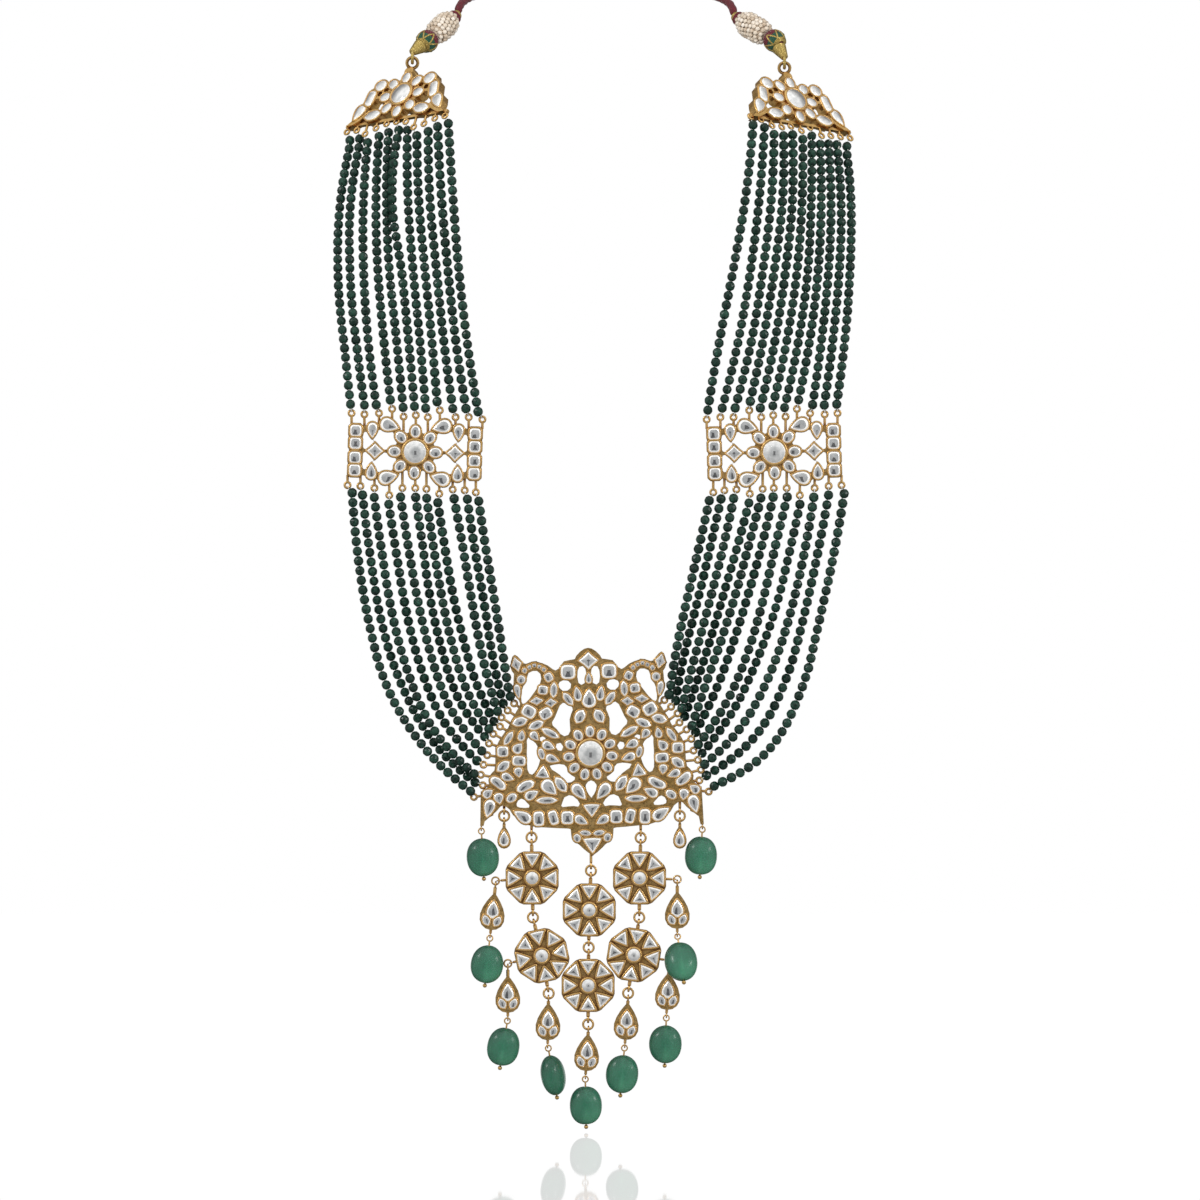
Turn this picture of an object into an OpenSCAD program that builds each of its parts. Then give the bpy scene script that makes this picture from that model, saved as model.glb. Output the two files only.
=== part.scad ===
// Long bead necklace with a pierced peacock pendant.
// X runs along the shoulders, Y from front to back, Z up. The origin is the nape, where the
// neck cord rests. The tables give heights above the foot, the lowest point of the fringe.

/* [Bead strings] */
// Across a faceted bead of the strings
bead_d = 3.4; // [3:0.1:3.4]
// Sides of the tube that stands for a string of beads
tube_sides = 8; // [8:1:12]
// Thread that ties a string to its loops
thread_d = 0.9; // [0.6:0.1:1.2]

/* [Gold plates] */
// Thickness of the pendant, spacers and caps
plate_t = 2.2; // [1.8:0.1:3]
// Extra depth of the caps behind
cap_depth = 1.2; // [0.6:0.2:1.6]
// Gold rim round each stone
rim = 0.72; // [0.6:0.02:0.8]
// Widest notch between two rims that is filled with gold
notch = 1.5; // [1:0.1:1.6]
// Depth of the pocket that holds a stone
pocket = 0.9; // [0.6:0.1:1.2]
// Height of a stone's table above the gold
table_rise = 0.45; // [0.3:0.05:0.8]
// Gap between a stone and its pocket
seat_gap = 0.12; // [0.1:0.01:0.2]
// Wire of the soldered loops
loop_wire = 0.85; // [0.65:0.05:0.85]
// Radius of the loops for the strings, at the middle of the wire
loop_r = 1; // [1:0.05:1.15]

/* [Pendant] */
// Width of the pendant over its side loops
pendant_w = 82; // [74:1:90]
// Height of the centre of its flower above the foot
pendant_z = 131.9; // [130:0.1:134]
// Lean of the pendant as worn, left side down
pendant_lean = 1.3; // [0:0.1:2]
// Across the round glass in the flower
flower_glass_d = 8.9; // [8:0.1:10]

/* [Spacers and caps] */
// Middle of the left spacer, across and up
left_spacer_at = [-61.4, 237.3]; // [across, up]
// Middle of the right spacer, across and up
right_spacer_at = [64.3, 237.3]; // [across, up]
// Lean of each spacer, outer end up
spacer_lean = 1.7; // [0:0.1:3]
// Across the round glass in spacers and caps
plate_glass_d = 8.1; // [7:0.1:9]
// Middle of the left cap's glass
left_cap_at = [-65.8, 30, 362.7]; // [across, back, up]
// Middle of the right cap's glass
right_cap_at = [71.4, 30, 360.9]; // [across, back, up]
// Turn of the left cap, as it follows the shoulder
cap_turn = [-32.9, -6.5, -35.5]; // [degrees about X, Y and Z]

/* [Fringe] */
// Medallion across its flats
medallion_w = 18.6; // [17:0.1:19]
// Medallion thickness at the rim
medallion_t = 1.5; // [1.4:0.1:2]
// Jump ring of the fringe, at the middle of the wire
link_r = 1.75; // [1.6:0.05:1.9]
// Wire of the jump rings
link_wire = 0.8; // [0.6:0.1:0.8]
// Teardrop height and width
teardrop_size = [13.2, 8.8]; // [height, width]
// Green stone bead width, depth and height
green_bead = [11.6, 8.4, 13.5]; // [across, deep, high]

/* [Neck cord] */
// Diameter of the neck cord
cord_d = 3; // [2.5:0.1:3.5]
// Place of the nape, above the foot and behind the pendant
nape = [0, 112, 403]; // [across, back, up]

/* [Hidden] */

gold = [0.80, 0.62, 0.27];
glass = [0.86, 0.87, 0.86];
emerald = [0.07, 0.20, 0.15];
jade = [0.25, 0.52, 0.40];
pearl = [0.93, 0.91, 0.87];
maroon = [0.35, 0.06, 0.08];

loop_out = loop_r + loop_wire / 2;
unit = pendant_w / 1836;

// Stones of the pendant's left half as it leans, in drawing units from the flower's centre.
// across, up, length, width, angle of the tip, outline
half_stones = [
    [-579, 697, 105, 70, 105, "kite"],
    [-542, 577, 56, 56, 0, "oval"],
    [-516, 647, 38, 34, 60, "quad"],
    [-477, 673, 38, 34, 30, "quad"],
    [-440, 687, 38, 34, 5, "quad"],
    [-400, 677, 38, 34, -20, "quad"],
    [-365, 655, 38, 34, -40, "quad"],
    [-327, 595, 58, 52, -62, "quad"],
    [-570, 485, 100, 38, -80, "drop"],
    [-372, 495, 66, 60, -8, "quad"],
    [-422, 410, 96, 54, 4, "kite"],
    [-482, 327, 98, 84, -30, "quad"],
    [-552, 247, 115, 66, 14, "leaf"],
    [-287, 495, 112, 50, 86, "leaf"],
    [-309, 395, 84, 58, 4, "kite"],
    [-350, 310, 88, 74, 30, "quad"],
    [-425, 220, 120, 60, 22, "leaf"],
    [-437, 133, 74, 52, -48, "drop"],
    [-314, 157, 145, 50, -28, "leaf"],
    [-642, 117, 125, 50, 56, "leaf"],
    [-687, 13, 84, 78, 0, "quad"],
    [-682, -103, 112, 68, 36, "leaf"],
    [-722, -233, 140, 72, -38, "moon"],
    [-540, 137, 72, 46, 80, "drop"],
    [-567, 40, 82, 66, 50, "drop"],
    [-559, -60, 94, 66, -4, "quad"],
    [-564, -150, 66, 56, -82, "drop"],
    [-647, -190, 102, 62, -20, "drop"],
    [-332, 55, 98, 62, -24, "drop"],
    [-377, -5, 90, 52, -75, "oval"],
    [-304, -45, 112, 64, -20, "drop"],
    [-374, -152, 92, 104, 84, "tri"],
    [-322, -267, 150, 102, -46, "drop"],
    [-232, -245, 135, 74, -54, "leaf"],
    [-510, -257, 140, 64, 26, "moon"],
    [-460, -325, 105, 62, 26, "drop"],
    [-342, -370, 160, 46, 0, "leaf"],
    [-87, -303, 140, 78, -50, "drop"],
    [-802, -315, 76, 58, 35, "drop"],
    [-717, -355, 76, 64, -80, "drop"],
    [-617, -350, 80, 54, 33, "oval"],
    [-794, -433, 130, 76, -105, "drop"],
    [-532, -495, 140, 76, 148, "drop"],
    [-405, -513, 104, 74, 92, "quad"],
    [-290, -505, 102, 62, 106, "quad"],
    [-180, -505, 96, 90, 90, "quad"],
    [-72, -527, 106, 62, -30, "drop"],
    [-175, 637, 104, 100, 0, "quad"],
    [-101, 465, 105, 54, 100, "drop"],
    [-175, 425, 112, 50, -53, "leaf"],
    [-82, 288, 108, 76, 60, "leaf"],
    [-39, -626, 104, 50, 172, "leaf"],
    [-104, -664, 58, 50, 110, "oval"]
];
// Stones on the pendant's middle line, in the same units and columns.
middle_stones = [
    [0, 727, 122, 142, 90, "kite"],
    [0, 588, 68, 34, 90, "drop"],
    [0, 430, 136, 100, 90, "drop"],
    [0, -450, 84, 118, -90, "tri"],
    [0, -726, 104, 132, -90, "tri"]
];
// Outline of the pendant's left half as it leans, from its top round to its foot, in fine drawing
// units with heights growing downwards.
// across, down
fine_unit = 0.35 / 13;
fine_middle = [1539, 1470];
half_outline = [
    [1508, 100], [1460, 112], [1405, 150], [1355, 205], [1335, 248], [1270, 258], [1195, 275],
    [1160, 320], [1125, 370], [1085, 395], [1045, 375], [985, 330], [910, 298], [835, 284],
    [760, 288], [700, 308], [668, 300], [640, 262], [590, 210], [556, 190], [525, 215],
    [505, 280], [498, 350], [518, 405], [545, 440], [540, 520], [538, 600], [548, 680],
    [575, 740], [610, 785], [625, 830], [612, 870], [580, 920], [545, 985], [510, 1040],
    [488, 1095], [470, 1138], [430, 1190], [390, 1250], [350, 1310], [322, 1370], [308, 1440],
    [303, 1500], [302, 1615], [290, 1695], [255, 1730], [222, 1775], [212, 1825], [222, 1885],
    [190, 1920], [150, 1955], [130, 2015], [124, 2105], [116, 2240], [118, 2330], [175, 2350],
    [250, 2285], [320, 2225], [370, 2165], [405, 2150], [440, 2165], [485, 2200], [530, 2272],
    [590, 2328], [655, 2372], [730, 2405], [800, 2424], [900, 2434], [1010, 2440], [1120, 2446],
    [1240, 2450], [1282, 2457], [1288, 2520], [1296, 2580], [1320, 2622], [1370, 2645],
    [1400, 2665], [1440, 2705], [1500, 2755], [1569, 2802]
];
// Holes of the left half, in the same units and columns
half_holes = [
    [[1395, 350], [1440, 338], [1472, 372], [1484, 430], [1480, 500], [1462, 560], [1420, 582],
        [1385, 556], [1370, 480], [1374, 400]],
    [[1140, 545], [1190, 522], [1250, 530], [1288, 572], [1280, 625], [1240, 657], [1180, 660],
        [1138, 622], [1125, 580]],
    [[735, 430], [790, 402], [845, 402], [888, 440], [900, 500], [885, 560], [850, 620],
        [800, 690], [750, 760], [700, 812], [662, 832], [645, 805], [640, 740], [648, 660],
        [668, 600], [700, 560], [712, 500]],
    [[1185, 815], [1240, 832], [1300, 870], [1310, 905], [1288, 960], [1268, 1030], [1272, 1100],
        [1278, 1180], [1252, 1232], [1200, 1250], [1150, 1220], [1100, 1155], [1050, 1112],
        [1040, 1070], [1080, 1000], [1112, 920], [1142, 850]],
    [[880, 1268], [922, 1254], [957, 1275], [942, 1308], [900, 1316], [866, 1292]],
    [[1100, 1350], [1150, 1336], [1186, 1386], [1162, 1440], [1118, 1432], [1090, 1392]],
    [[735, 1262], [780, 1300], [830, 1345], [852, 1385], [838, 1440], [858, 1505], [885, 1555],
        [870, 1615], [845, 1675], [810, 1725], [780, 1750], [745, 1735], [722, 1685], [715, 1585],
        [713, 1465], [716, 1365], [712, 1305]],
    [[1010, 1635], [1060, 1622], [1130, 1612], [1200, 1622], [1232, 1657], [1242, 1715],
        [1290, 1755], [1340, 1785], [1332, 1817], [1290, 1847], [1240, 1855], [1190, 1805],
        [1140, 1750], [1090, 1715], [1040, 1685]],
    [[1562, 1823], [1510, 1840], [1480, 1880], [1478, 1905], [1492, 1960], [1520, 2010],
        [1562, 2055]],
    [[1180, 2097], [1200, 2047], [1260, 2017], [1312, 2027], [1372, 2077], [1402, 2127],
        [1382, 2165], [1320, 2157], [1250, 2162], [1182, 2171], [1160, 2155]],
    [[580, 2127], [600, 2087], [640, 2062], [680, 2077], [722, 2122], [747, 2147], [740, 2177],
        [690, 2182], [622, 2177], [585, 2162]]
];
petals = 11;
petal_orbit = 170;

// Loops for the strings down the pendant's side, top to bottom, from the flower's centre.
// across, up, angle of the stem, stem
side_loops = [
    [26.3, 18.0, -38, 4], [28.6, 15.6, -36, 4.6], [30.8, 13.2, -36, 4.8], [31.4, 10.0, -32, 4],
    [33.8, 7.5, -30, 4.4], [35.4, 4.2, -20, 4], [36.1, 0.1, -10, 4], [37.5, -3.2, -4, 5.2],
    [38.5, -6.7, -13, 5.5], [37.9, -10.4, -4, 4.2], [41.1, -14.4, 6, 4.6]
];

// Stones of one quarter of a spacer and of one half of a cap, beside the round flower.
// across, up, length, width, angle of the tip, outline
spacer_quarter = [
    [9.1, 9.1, 6.4, 4.3, 196, "drop"],
    [15.1, 7.2, 5.2, 3.2, -90, "drop"],
    [20.9, 6.9, 4, 4, 0, "quad"],
    [20.9, 2.5, 4, 4, 0, "quad"]
];
spacer_diamond = [14, 0, 5.6, 5.2, 0, "kite"];
cap_half = [
    [10.6, 5.4, 4.6, 4.2, 0, "oval"],
    [13.8, 0.4, 3.4, 6.4, 10, "quad"],
    [17.2, -5.3, 6.6, 4, -62, "drop"],
    [10.6, -7.3, 6.8, 4, -8, "leaf"]
];
// Loops above and below the left spacer, outer end first.
// across, up
spacer_top_loops = [
    [-22.2, 13.6], [-17.7, 13.2], [-12.6, 13.6], [-8.0, 15.1], [-4.0, 12.4], [0.3, 12.9],
    [4.5, 12.2], [8.7, 14.6], [14.2, 12.2], [18.8, 12.2], [23.6, 11.4]
];
spacer_foot_loops = [
    [-23.6, -11.6], [-19.1, -11.9], [-14.2, -12.6], [-9.0, -15.1], [-4.4, -12.6], [0.1, -12.6],
    [4.0, -12.9], [8.5, -14.6], [13.2, -13.1], [17.4, -13.4], [21.3, -14.1]
];
// Extra length of the cap loops' stems, outer end first.
left_cap_drops = [0.2, 0.2, 2.4, 0.6, -0.6, -0.8, -0.2, 2.8, 2.0, 0.4, 0];
right_cap_drops = [0.6, 0.8, 1.0, 1.6, -1.2, 0.8, -0.4, 0.6, 0.6, -1.2, -1.8];
cap_pitch = 4.28;
cap_foot = -11.5;

// Bead strings. Each row is one string, outermost first.
// Upper strings: top height, foot height, then across at five even heights from the top down,
// then how far the string stands forward at the three heights between.
left_upper = [
    [347.1, 254.4, -84.2, -88.3, -88.6, -86.5, -84.0, 0, 0, 0],
    [347.5, 254.4, -80.8, -84.6, -84.3, -82.2, -79.2, 0, 0, 0],
    [345.1, 254.1, -78.5, -79.8, -79.5, -77.9, -75.0, 0, 0, 0],
    [347.4, 256.1, -74.4, -75.3, -74.6, -72.6, -70.1, 0, 0, 0],
    [348.9, 253.4, -71.0, -71.6, -70.5, -68.0, -65.6, 0, 0, 0],
    [349.6, 253.4, -67.5, -69.6, -66.3, -63.8, -61.6, 2.6, 0, 0],
    [349.8, 253.1, -64.3, -64.0, -62.2, -59.8, -57.7, 1.2, 0, 0],
    [347.1, 255.4, -60.9, -60.1, -58.0, -55.7, -53.7, 0, 0, 0],
    [348.7, 252.7, -56.9, -56.2, -53.9, -51.4, -48.2, 0, 0, 0],
    [351.2, 252.7, -53.6, -52.2, -50.0, -47.3, -43.6, 0, 0, 0],
    [352.3, 251.9, -49.8, -48.2, -46.2, -43.3, -39.4, 0, 0, 0]
];
right_upper = [
    [345.1, 254.7, 89.7, 91.7, 91.2, 89.2, 86.3, 0, 0, 0],
    [344.6, 254.7, 86.8, 88.1, 87.2, 85.0, 82.0, 0, 0, 0],
    [345.1, 254.1, 83.8, 84.5, 83.4, 81.0, 77.8, 0, 0, 0],
    [344.8, 256.1, 80.8, 81.0, 79.8, 77.1, 73.0, 0, 0, 0],
    [348.0, 253.5, 77.8, 77.5, 76.2, 73.0, 68.1, 0, 0, 0],
    [346.8, 254.5, 74.6, 74.2, 72.4, 69.0, 64.1, 0, 0, 0],
    [348.4, 253.6, 71.0, 70.8, 68.4, 64.8, 59.7, 0, 0, 0],
    [347.7, 255.2, 67.8, 67.3, 64.5, 60.8, 56.0, 0, 0, 0],
    [348.1, 253.6, 64.4, 63.3, 60.4, 56.6, 50.9, 0, 0, 0],
    [350.6, 252.9, 61.0, 59.2, 56.2, 52.0, 46.2, 0, 0, 0],
    [351.7, 252.6, 57.0, 54.4, 50.2, 45.4, 41.2, 0, 0, 0]
];
// Lower strings: six places across and up, from spacer to pendant, then how far the string
// stands forward at the last four.
left_lower = [
    [-83.3, 222.2, -81.2, 199.7, -77.4, 177.2, -71.2, 155.2, -59.2, 135.2, -43.0, 119.5],
    [-79.7, 221.8, -76.9, 199.9, -73.3, 178.6, -67.1, 158.2, -56.5, 137.9, -41.4, 122.5],
    [-75.5, 220.3, -72.6, 199.7, -69.1, 179.5, -63.6, 159.5, -55.4, 141.0, -41.7, 125.6],
    [-70.5, 218.6, -67.6, 199.7, -64.3, 180.7, -59.6, 162.5, -52.3, 144.6, -40.2, 129.8],
    [-66.3, 220.6, -63.4, 202.2, -60.1, 183.8, -55.6, 165.6, -49.4, 148.4, -38.9, 133.8],
    [-61.0, 220.3, -58.6, 203.6, -56.1, 186.2, -52.2, 168.8, -46.8, 152.2, -37.6, 138.4],
    [-57.2, 220.4, -54.8, 203.3, -51.9, 186.2, -48.3, 169.7, -43.4, 154.2, -36.2, 141.5],
    [-53.3, 218.9, -50.9, 203.6, -48.2, 187.8, -44.8, 172.9, -40.6, 158.1, -34.3, 144.0],
    [-47.5, 219.9, -44.9, 205.5, -42.5, 191.1, -40.0, 176.8, -37.0, 162.4, -33.0, 148.0],
    [-42.9, 219.7, -40.9, 205.8, -38.5, 192.0, -36.2, 178.1, -34.0, 164.2, -30.8, 150.4],
    [-38.9, 218.9, -37.0, 206.0, -34.8, 192.8, -32.6, 179.6, -30.6, 166.4, -28.6, 153.7]
];
right_lower = [
    [88.7, 222.0, 84.9, 200.2, 79.8, 177.0, 74.2, 155.2, 63.4, 134.2, 44.9, 121.4],
    [83.3, 222.0, 79.4, 201.1, 74.6, 179.3, 68.6, 158.1, 58.6, 138.9, 42.0, 125.0],
    [78.1, 221.0, 74.6, 200.8, 69.9, 180.7, 63.4, 161.0, 54.0, 142.9, 40.9, 128.9],
    [73.2, 218.4, 69.3, 200.6, 64.9, 182.8, 58.6, 165.2, 50.8, 148.2, 39.6, 132.5],
    [68.8, 221.2, 64.6, 203.8, 60.4, 185.4, 55.4, 168.2, 48.6, 151.6, 38.8, 136.4],
    [63.9, 221.3, 60.1, 205.0, 55.6, 188.7, 50.6, 172.4, 44.8, 156.1, 37.2, 139.9],
    [59.6, 220.9, 55.6, 205.4, 51.4, 189.7, 46.6, 174.0, 41.2, 158.4, 36.0, 142.9],
    [55.3, 218.8, 51.4, 204.1, 47.2, 189.5, 42.9, 174.7, 38.4, 160.2, 33.4, 145.8],
    [49.9, 220.0, 46.9, 205.8, 43.4, 191.5, 39.6, 177.0, 35.8, 162.9, 32.4, 149.0],
    [45.5, 219.9, 42.6, 206.9, 39.4, 192.8, 35.9, 178.8, 32.5, 164.8, 30.1, 151.2],
    [41.5, 219.8, 38.6, 206.7, 35.6, 193.5, 32.6, 180.2, 29.9, 166.9, 27.9, 153.9]
];
// How far every second lower string lies behind its neighbours, from spacer to pendant.
lower_layers = [0, 0.8, 1.6, 2.2, 2.6, 1.9];

// Fringe, heights above the foot.
// Medallions: across, up, turn, ring above, ring below, teardrop at the side or -1
medallions = [
    [-20.4, 88.2, 0, 0, 3, 0], [17.2, 88.2, 0, 1, 4, 1], [-0.4, 77.0, 0, 2, 5, -1],
    [-17.0, 61.0, 12, 3, 6, 2], [15.2, 61.3, -9, 4, 7, 3], [-0.8, 50.6, 0, 5, 8, -1]
];
// Large jump rings: across, up
links = [
    [-20.6, 102.4], [17.6, 102.3], [0.2, 90.8], [-20.1, 74.4], [17.1, 74.4], [-0.6, 63.9],
    [-14.6, 47.8], [13.2, 47.9], [-0.8, 37.0], [-30.2, 109.9], [31.3, 109.9]
];
side_link_r = 1.3;
side_link_wire = 0.6;
// Teardrops: top across, top up, lean, length of the neck above
teardrops = [
    [-33.5, 83.1, -6, 2.8], [30.4, 83.6, 0, 2.8], [-28.9, 54.2, 0, 2.8], [27.4, 55.2, -3, 2.8],
    [-14.7, 44.6, -1, 1.5], [13.1, 44.7, -4, 1.5], [-0.8, 33.8, -3.5, 1.5]
];
// Height and width of the small single-stone drops
small_drop_size = [8.2, 4.8];
// Green beads: pin eye across, up, lean, forward swing, turn, size factor
eye_r = 1;
eye_wire = 0.5;
pin_neck = 1.2;
beads = [
    [-38.2, 104.6, 3, 0, 0, 1], [39.2, 105.2, -3, 0, 0, 1],
    [-35.1, 67.1, -6, 7, 0, 1], [30.4, 67.6, 7, 26, 0, 1.08],
    [-28.9, 38.2, -9, 0, 0, 1], [26.6, 39.2, -2, 0, 0, 1],
    [-14.9, 28.6, 10, 0, 75, 1.06], [12.0, 28.7, -5, 0, 0, 1],
    [-1.8, 17.8, 1, 0, 0, 1]
];

// Neck cord route behind the neck, in the same heights, from tip to tip.
cord_route = [
    [-46.6, 57.2, 392.9], [-41.6, 69, 399.2], [-25, 99, 402.6], [0, 112, 403],
    [27, 99, 402.6], [45.4, 69, 398.8], [50.3, 57.3, 392.3]
];
// Places along each cord end: bail, thread ball, pearl bundle's middle and tip.
left_end = [[-62.7, 36.2, 374.6], [-57.6, 41.5, 382.4], [-46.7, 57, 392.7]];
right_end = [[68.3, 36.2, 372.8], [64.9, 41.5, 382.6], [50.6, 57, 392]];

// Vectors
function unit_of(v) = v / norm(v);
function turned(p, a) = [p.x * cos(a) - p.y * sin(a), p.x * sin(a) + p.y * cos(a)];
function mirrored_row(r) = [-r[0], r[1], r[2], r[3], 180 - r[4], r[5]];

// Stone outlines, tip towards +X, then turned and placed
function outline_of(l, w, kind) =
    kind == "oval" ? [for (i = [0:9]) [l / 2 * cos(36 * i), w / 2 * sin(36 * i)]] :
    kind == "drop" ? [for (i = [0:9]) let (a = 36 * i)
        [l / 2 * cos(a), 0.65 * w * sin(a) * sin(a / 2)]] :
    kind == "leaf" ? [for (s = [1, 0.45, -0.45, -1]) [s * l / 2, w / 2 * (1 - s * s)],
        for (s = [-0.45, 0.45]) [s * l / 2, -w / 2 * (1 - s * s)]] :
    kind == "tri" ? [[l / 2, 0], [-l * 0.04, w * 0.29], [-l / 2, w / 2], [-l * 0.55, 0],
        [-l / 2, -w / 2], [-l * 0.04, -w * 0.29]] :
    kind == "kite" ? [[l / 2, 0], [l * 0.24, w * 0.24], [0, w / 2], [-l * 0.24, w * 0.24],
        [-l / 2, 0], [-l * 0.24, -w * 0.24], [0, -w / 2], [l * 0.24, -w * 0.24]] :
    kind == "moon" ? [[l / 2, -w * 0.1], [l * 0.4, w * 0.28], [0, w / 2], [-l * 0.4, w * 0.28],
        [-l / 2, -w * 0.1], [-l * 0.36, -w * 0.4], [0, -w * 0.46], [l * 0.36, -w * 0.4]] :
    [[l / 2, w * 0.3], [l * 0.3, w / 2], [-l * 0.3, w / 2], [-l / 2, w * 0.3],
        [-l / 2, -w * 0.3], [-l * 0.3, -w / 2], [l * 0.3, -w / 2], [l / 2, -w * 0.3]];
function placed_outline(r, grow) =
    [for (p = outline_of(r[2] + 2 * grow, r[3] + 2 * grow, r[5])) turned(p, r[4]) + [r[0], r[1]]];
function scaled_row(r, k) = [r[0] * k, r[1] * k, r[2] * k, r[3] * k, r[4], r[5]];
function grown_about(points, middle, k) = [for (p = points) middle + k * (p - middle)];

// Flat work stands upright with its front towards -Y
module upright(t = plate_t) {
    translate([0, t / 2, 0])
        rotate([90, 0, 0])
            children();
}

module stone_shapes(rows, grow) {
    for (r = rows)
        polygon(placed_outline(r, grow));
}

// One cut stone: a base in its pocket, a crown and a flat table
module cut_stone(r) {
    base = placed_outline(r, -seat_gap);
    n = len(base);
    crown = grown_about(base, [r[0], r[1]], 0.6);
    z0 = plate_t - pocket + seat_gap;
    z1 = plate_t + table_rise;
    polyhedron(
        points = [for (p = base) [p.x, p.y, z0], for (p = crown) [p.x, p.y, z1]],
        faces = [[for (i = [0:n - 1]) i], [for (i = [0:n - 1]) 2 * n - 1 - i],
            for (i = [0:n - 1]) [i, n + i, n + (i + 1) % n, (i + 1) % n]]
    );
}

// Domed round glass with a flat back
module round_glass(d, lift) {
    r = d / 2 - seat_gap;
    z0 = plate_t - pocket + seat_gap + lift;
    dome = 1.1;
    big = (r * r + dome * dome) / (2 * dome);
    intersection() {
        translate([0, 0, z0])
            cylinder(h = 6, r = r, $fn = 48);
        translate([0, 0, z0 + 0.9 + dome - big])
            sphere(r = big, $fn = 48);
    }
}

// Plate of closed rims round the stones, with pockets
module set_plate(rows, pocket_rows, fill = notch, depth = 0) {
    difference() {
        translate([0, 0, -depth])
            linear_extrude(plate_t + depth)
                offset(r = -fill / 2, $fn = 8)
                    offset(r = fill / 2, $fn = 8) {
                        stone_shapes(rows, rim);
                        children();
                    }
        translate([0, 0, plate_t - pocket])
            linear_extrude(pocket + 1)
                stone_shapes(pocket_rows, 0);
    }
}

// Soldered loop, hole from front to back, with its stem
loop_y = 0.35;
module face_loop(at, stem, angle, r = loop_r) {
    translate([at.x, loop_y, at.y]) {
        rotate([90, 0, 0])
            rotate_extrude($fn = 32)
                translate([r, 0])
                    circle(d = loop_wire, $fn = 16);
        rotate([0, 90 - angle, 0])
            translate([0, 0, r])
                cylinder(h = stem - r, d = loop_wire + 0.1, $fn = 16);
    }
}

// Soldered loop seen edge-on, hole from side to side
module edge_loop(r, wire) {
    rotate([0, 90, 0])
        rotate_extrude($fn = 32)
            translate([r, 0])
                circle(d = wire, $fn = 16);
}

module jump_ring(at, r, wire) {
    translate([at.x, 0, at.y])
        rotate([90, 0, 0])
            rotate_extrude($fn = 32)
                translate([r, 0])
                    circle(d = wire, $fn = 16);
}

// Pendant
function flower_rows(n, orbit, l, w, from) =
    [for (i = [0:n - 1]) let (a = from + 360 * i / n)
        [orbit * cos(a), orbit * sin(a), l, w, a, "oval"]];
pendant_flower = flower_rows(petals, petal_orbit, 78, 58, 90);
function straight(r) =
    let (p = turned([r[0], r[1]], -pendant_lean)) [p.x, p.y, r[2], r[3], r[4], r[5]];
pendant_rows = [
    for (r = half_stones) scaled_row(straight(r), unit),
    for (r = half_stones) scaled_row(mirrored_row(straight(r)), unit),
    for (r = middle_stones) scaled_row(r, unit),
    for (r = pendant_flower) scaled_row(r, unit)
];
// The smallest stones of the pendant, under this size across by up, are left to the finish.
stone_area_limit = 14.5;
large_stones = [for (r = pendant_rows) if (r[2] * r[3] > stone_area_limit) r];
flower_bezel_r = flower_glass_d / 2 + 0.9;
flower_lift = 0.8;

// Long straight point of each corner star: side and foot, in the units of the stones
star_feet = [[1, -552], [-1, -578]];
module star_points() {
    for (f = star_feet)
        polygon([for (p = [[-770, -470], [-800, -280], [-866, -280], [-876, f.y], [-850, f.y],
            [-835, -500]]) [f.x * p.x, p.y] * unit]);
}

function fine_places(list) = [for (p = list)
    turned([p.x - fine_middle.x, fine_middle.y - p.y] * fine_unit * pendant_w / 82, -pendant_lean)];
module both_halves() {
    children();
    mirror([1, 0])
        children();
}

module pendant_shape() {
    difference() {
        both_halves()
            polygon(concat(fine_places(half_outline), [[0.2, -36], [0.2, 36]]));
        both_halves()
            for (h = half_holes)
                polygon(fine_places(h));
    }
    star_points();
    circle(r = flower_bezel_r, $fn = 48);
}

module pendant_frame() {
    translate([0, 0, pendant_z])
        rotate([0, -pendant_lean, 0])
            children();
}

// A loop below the pendant for a jump ring of the fringe, given in picture heights
module hanging_loop(at, stem) {
    translate([at.x, 0, at.y]) {
        edge_loop(0.95, loop_wire);
        translate([0, loop_y, 0.95])
            cylinder(h = stem - 0.95, d = 1, $fn = 16);
    }
}

module pendant_plate() {
    color(gold) {
        pendant_frame() {
            difference() {
                union() {
                    upright()
                        set_plate(pendant_rows, pendant_rows, 0.36)
                            pendant_shape();
                    upright()
                        cylinder(h = plate_t + flower_lift, r = flower_bezel_r, $fn = 48);
                }
                upright()
                    translate([0, 0, plate_t - pocket + flower_lift])
                        cylinder(h = 5, d = flower_glass_d, $fn = 48);
            }
            for (l = side_loops) {
                face_loop([-l[0], l[1]], l[3], l[2]);
                face_loop([l[0], l[1]], l[3], 180 - l[2]);
            }
        }
        for (i = [0, 1])
            hanging_loop([links[i].x, links[i].y + link_r], i == 0 ? 3 : 3.8);
        hanging_loop([links[2].x, links[2].y + link_r], 4.8);
        for (i = [9, 10])
            hanging_loop([links[i].x, links[i].y + link_r], 5.2);
        for (i = [0, 1])
            translate([beads[i][0], 0, beads[i][1] + eye_r])
                edge_loop(0.75, 0.5);
    }
}

module pendant_stones() {
    color(glass)
        pendant_frame()
            upright()
                for (r = large_stones)
                    cut_stone(r);
}

module pendant_centre_stone() {
    color(glass)
        pendant_frame()
            upright()
                round_glass(flower_glass_d, flower_lift);
}

// Spacers
small_flower = flower_rows(8, 7.15, 4.2, 3.3, 90);
plate_bezel_r = plate_glass_d / 2 + 0.9;
spacer_rows = [
    for (r = spacer_quarter) for (sx = [-1, 1]) for (sz = [-1, 1])
        [sx * r[0], sz * r[1], r[2], r[3], sx > 0 ? sz * r[4] : 180 - sz * r[4], r[5]],
    spacer_diamond, mirrored_row(spacer_diamond),
    for (r = small_flower) r
];

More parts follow.
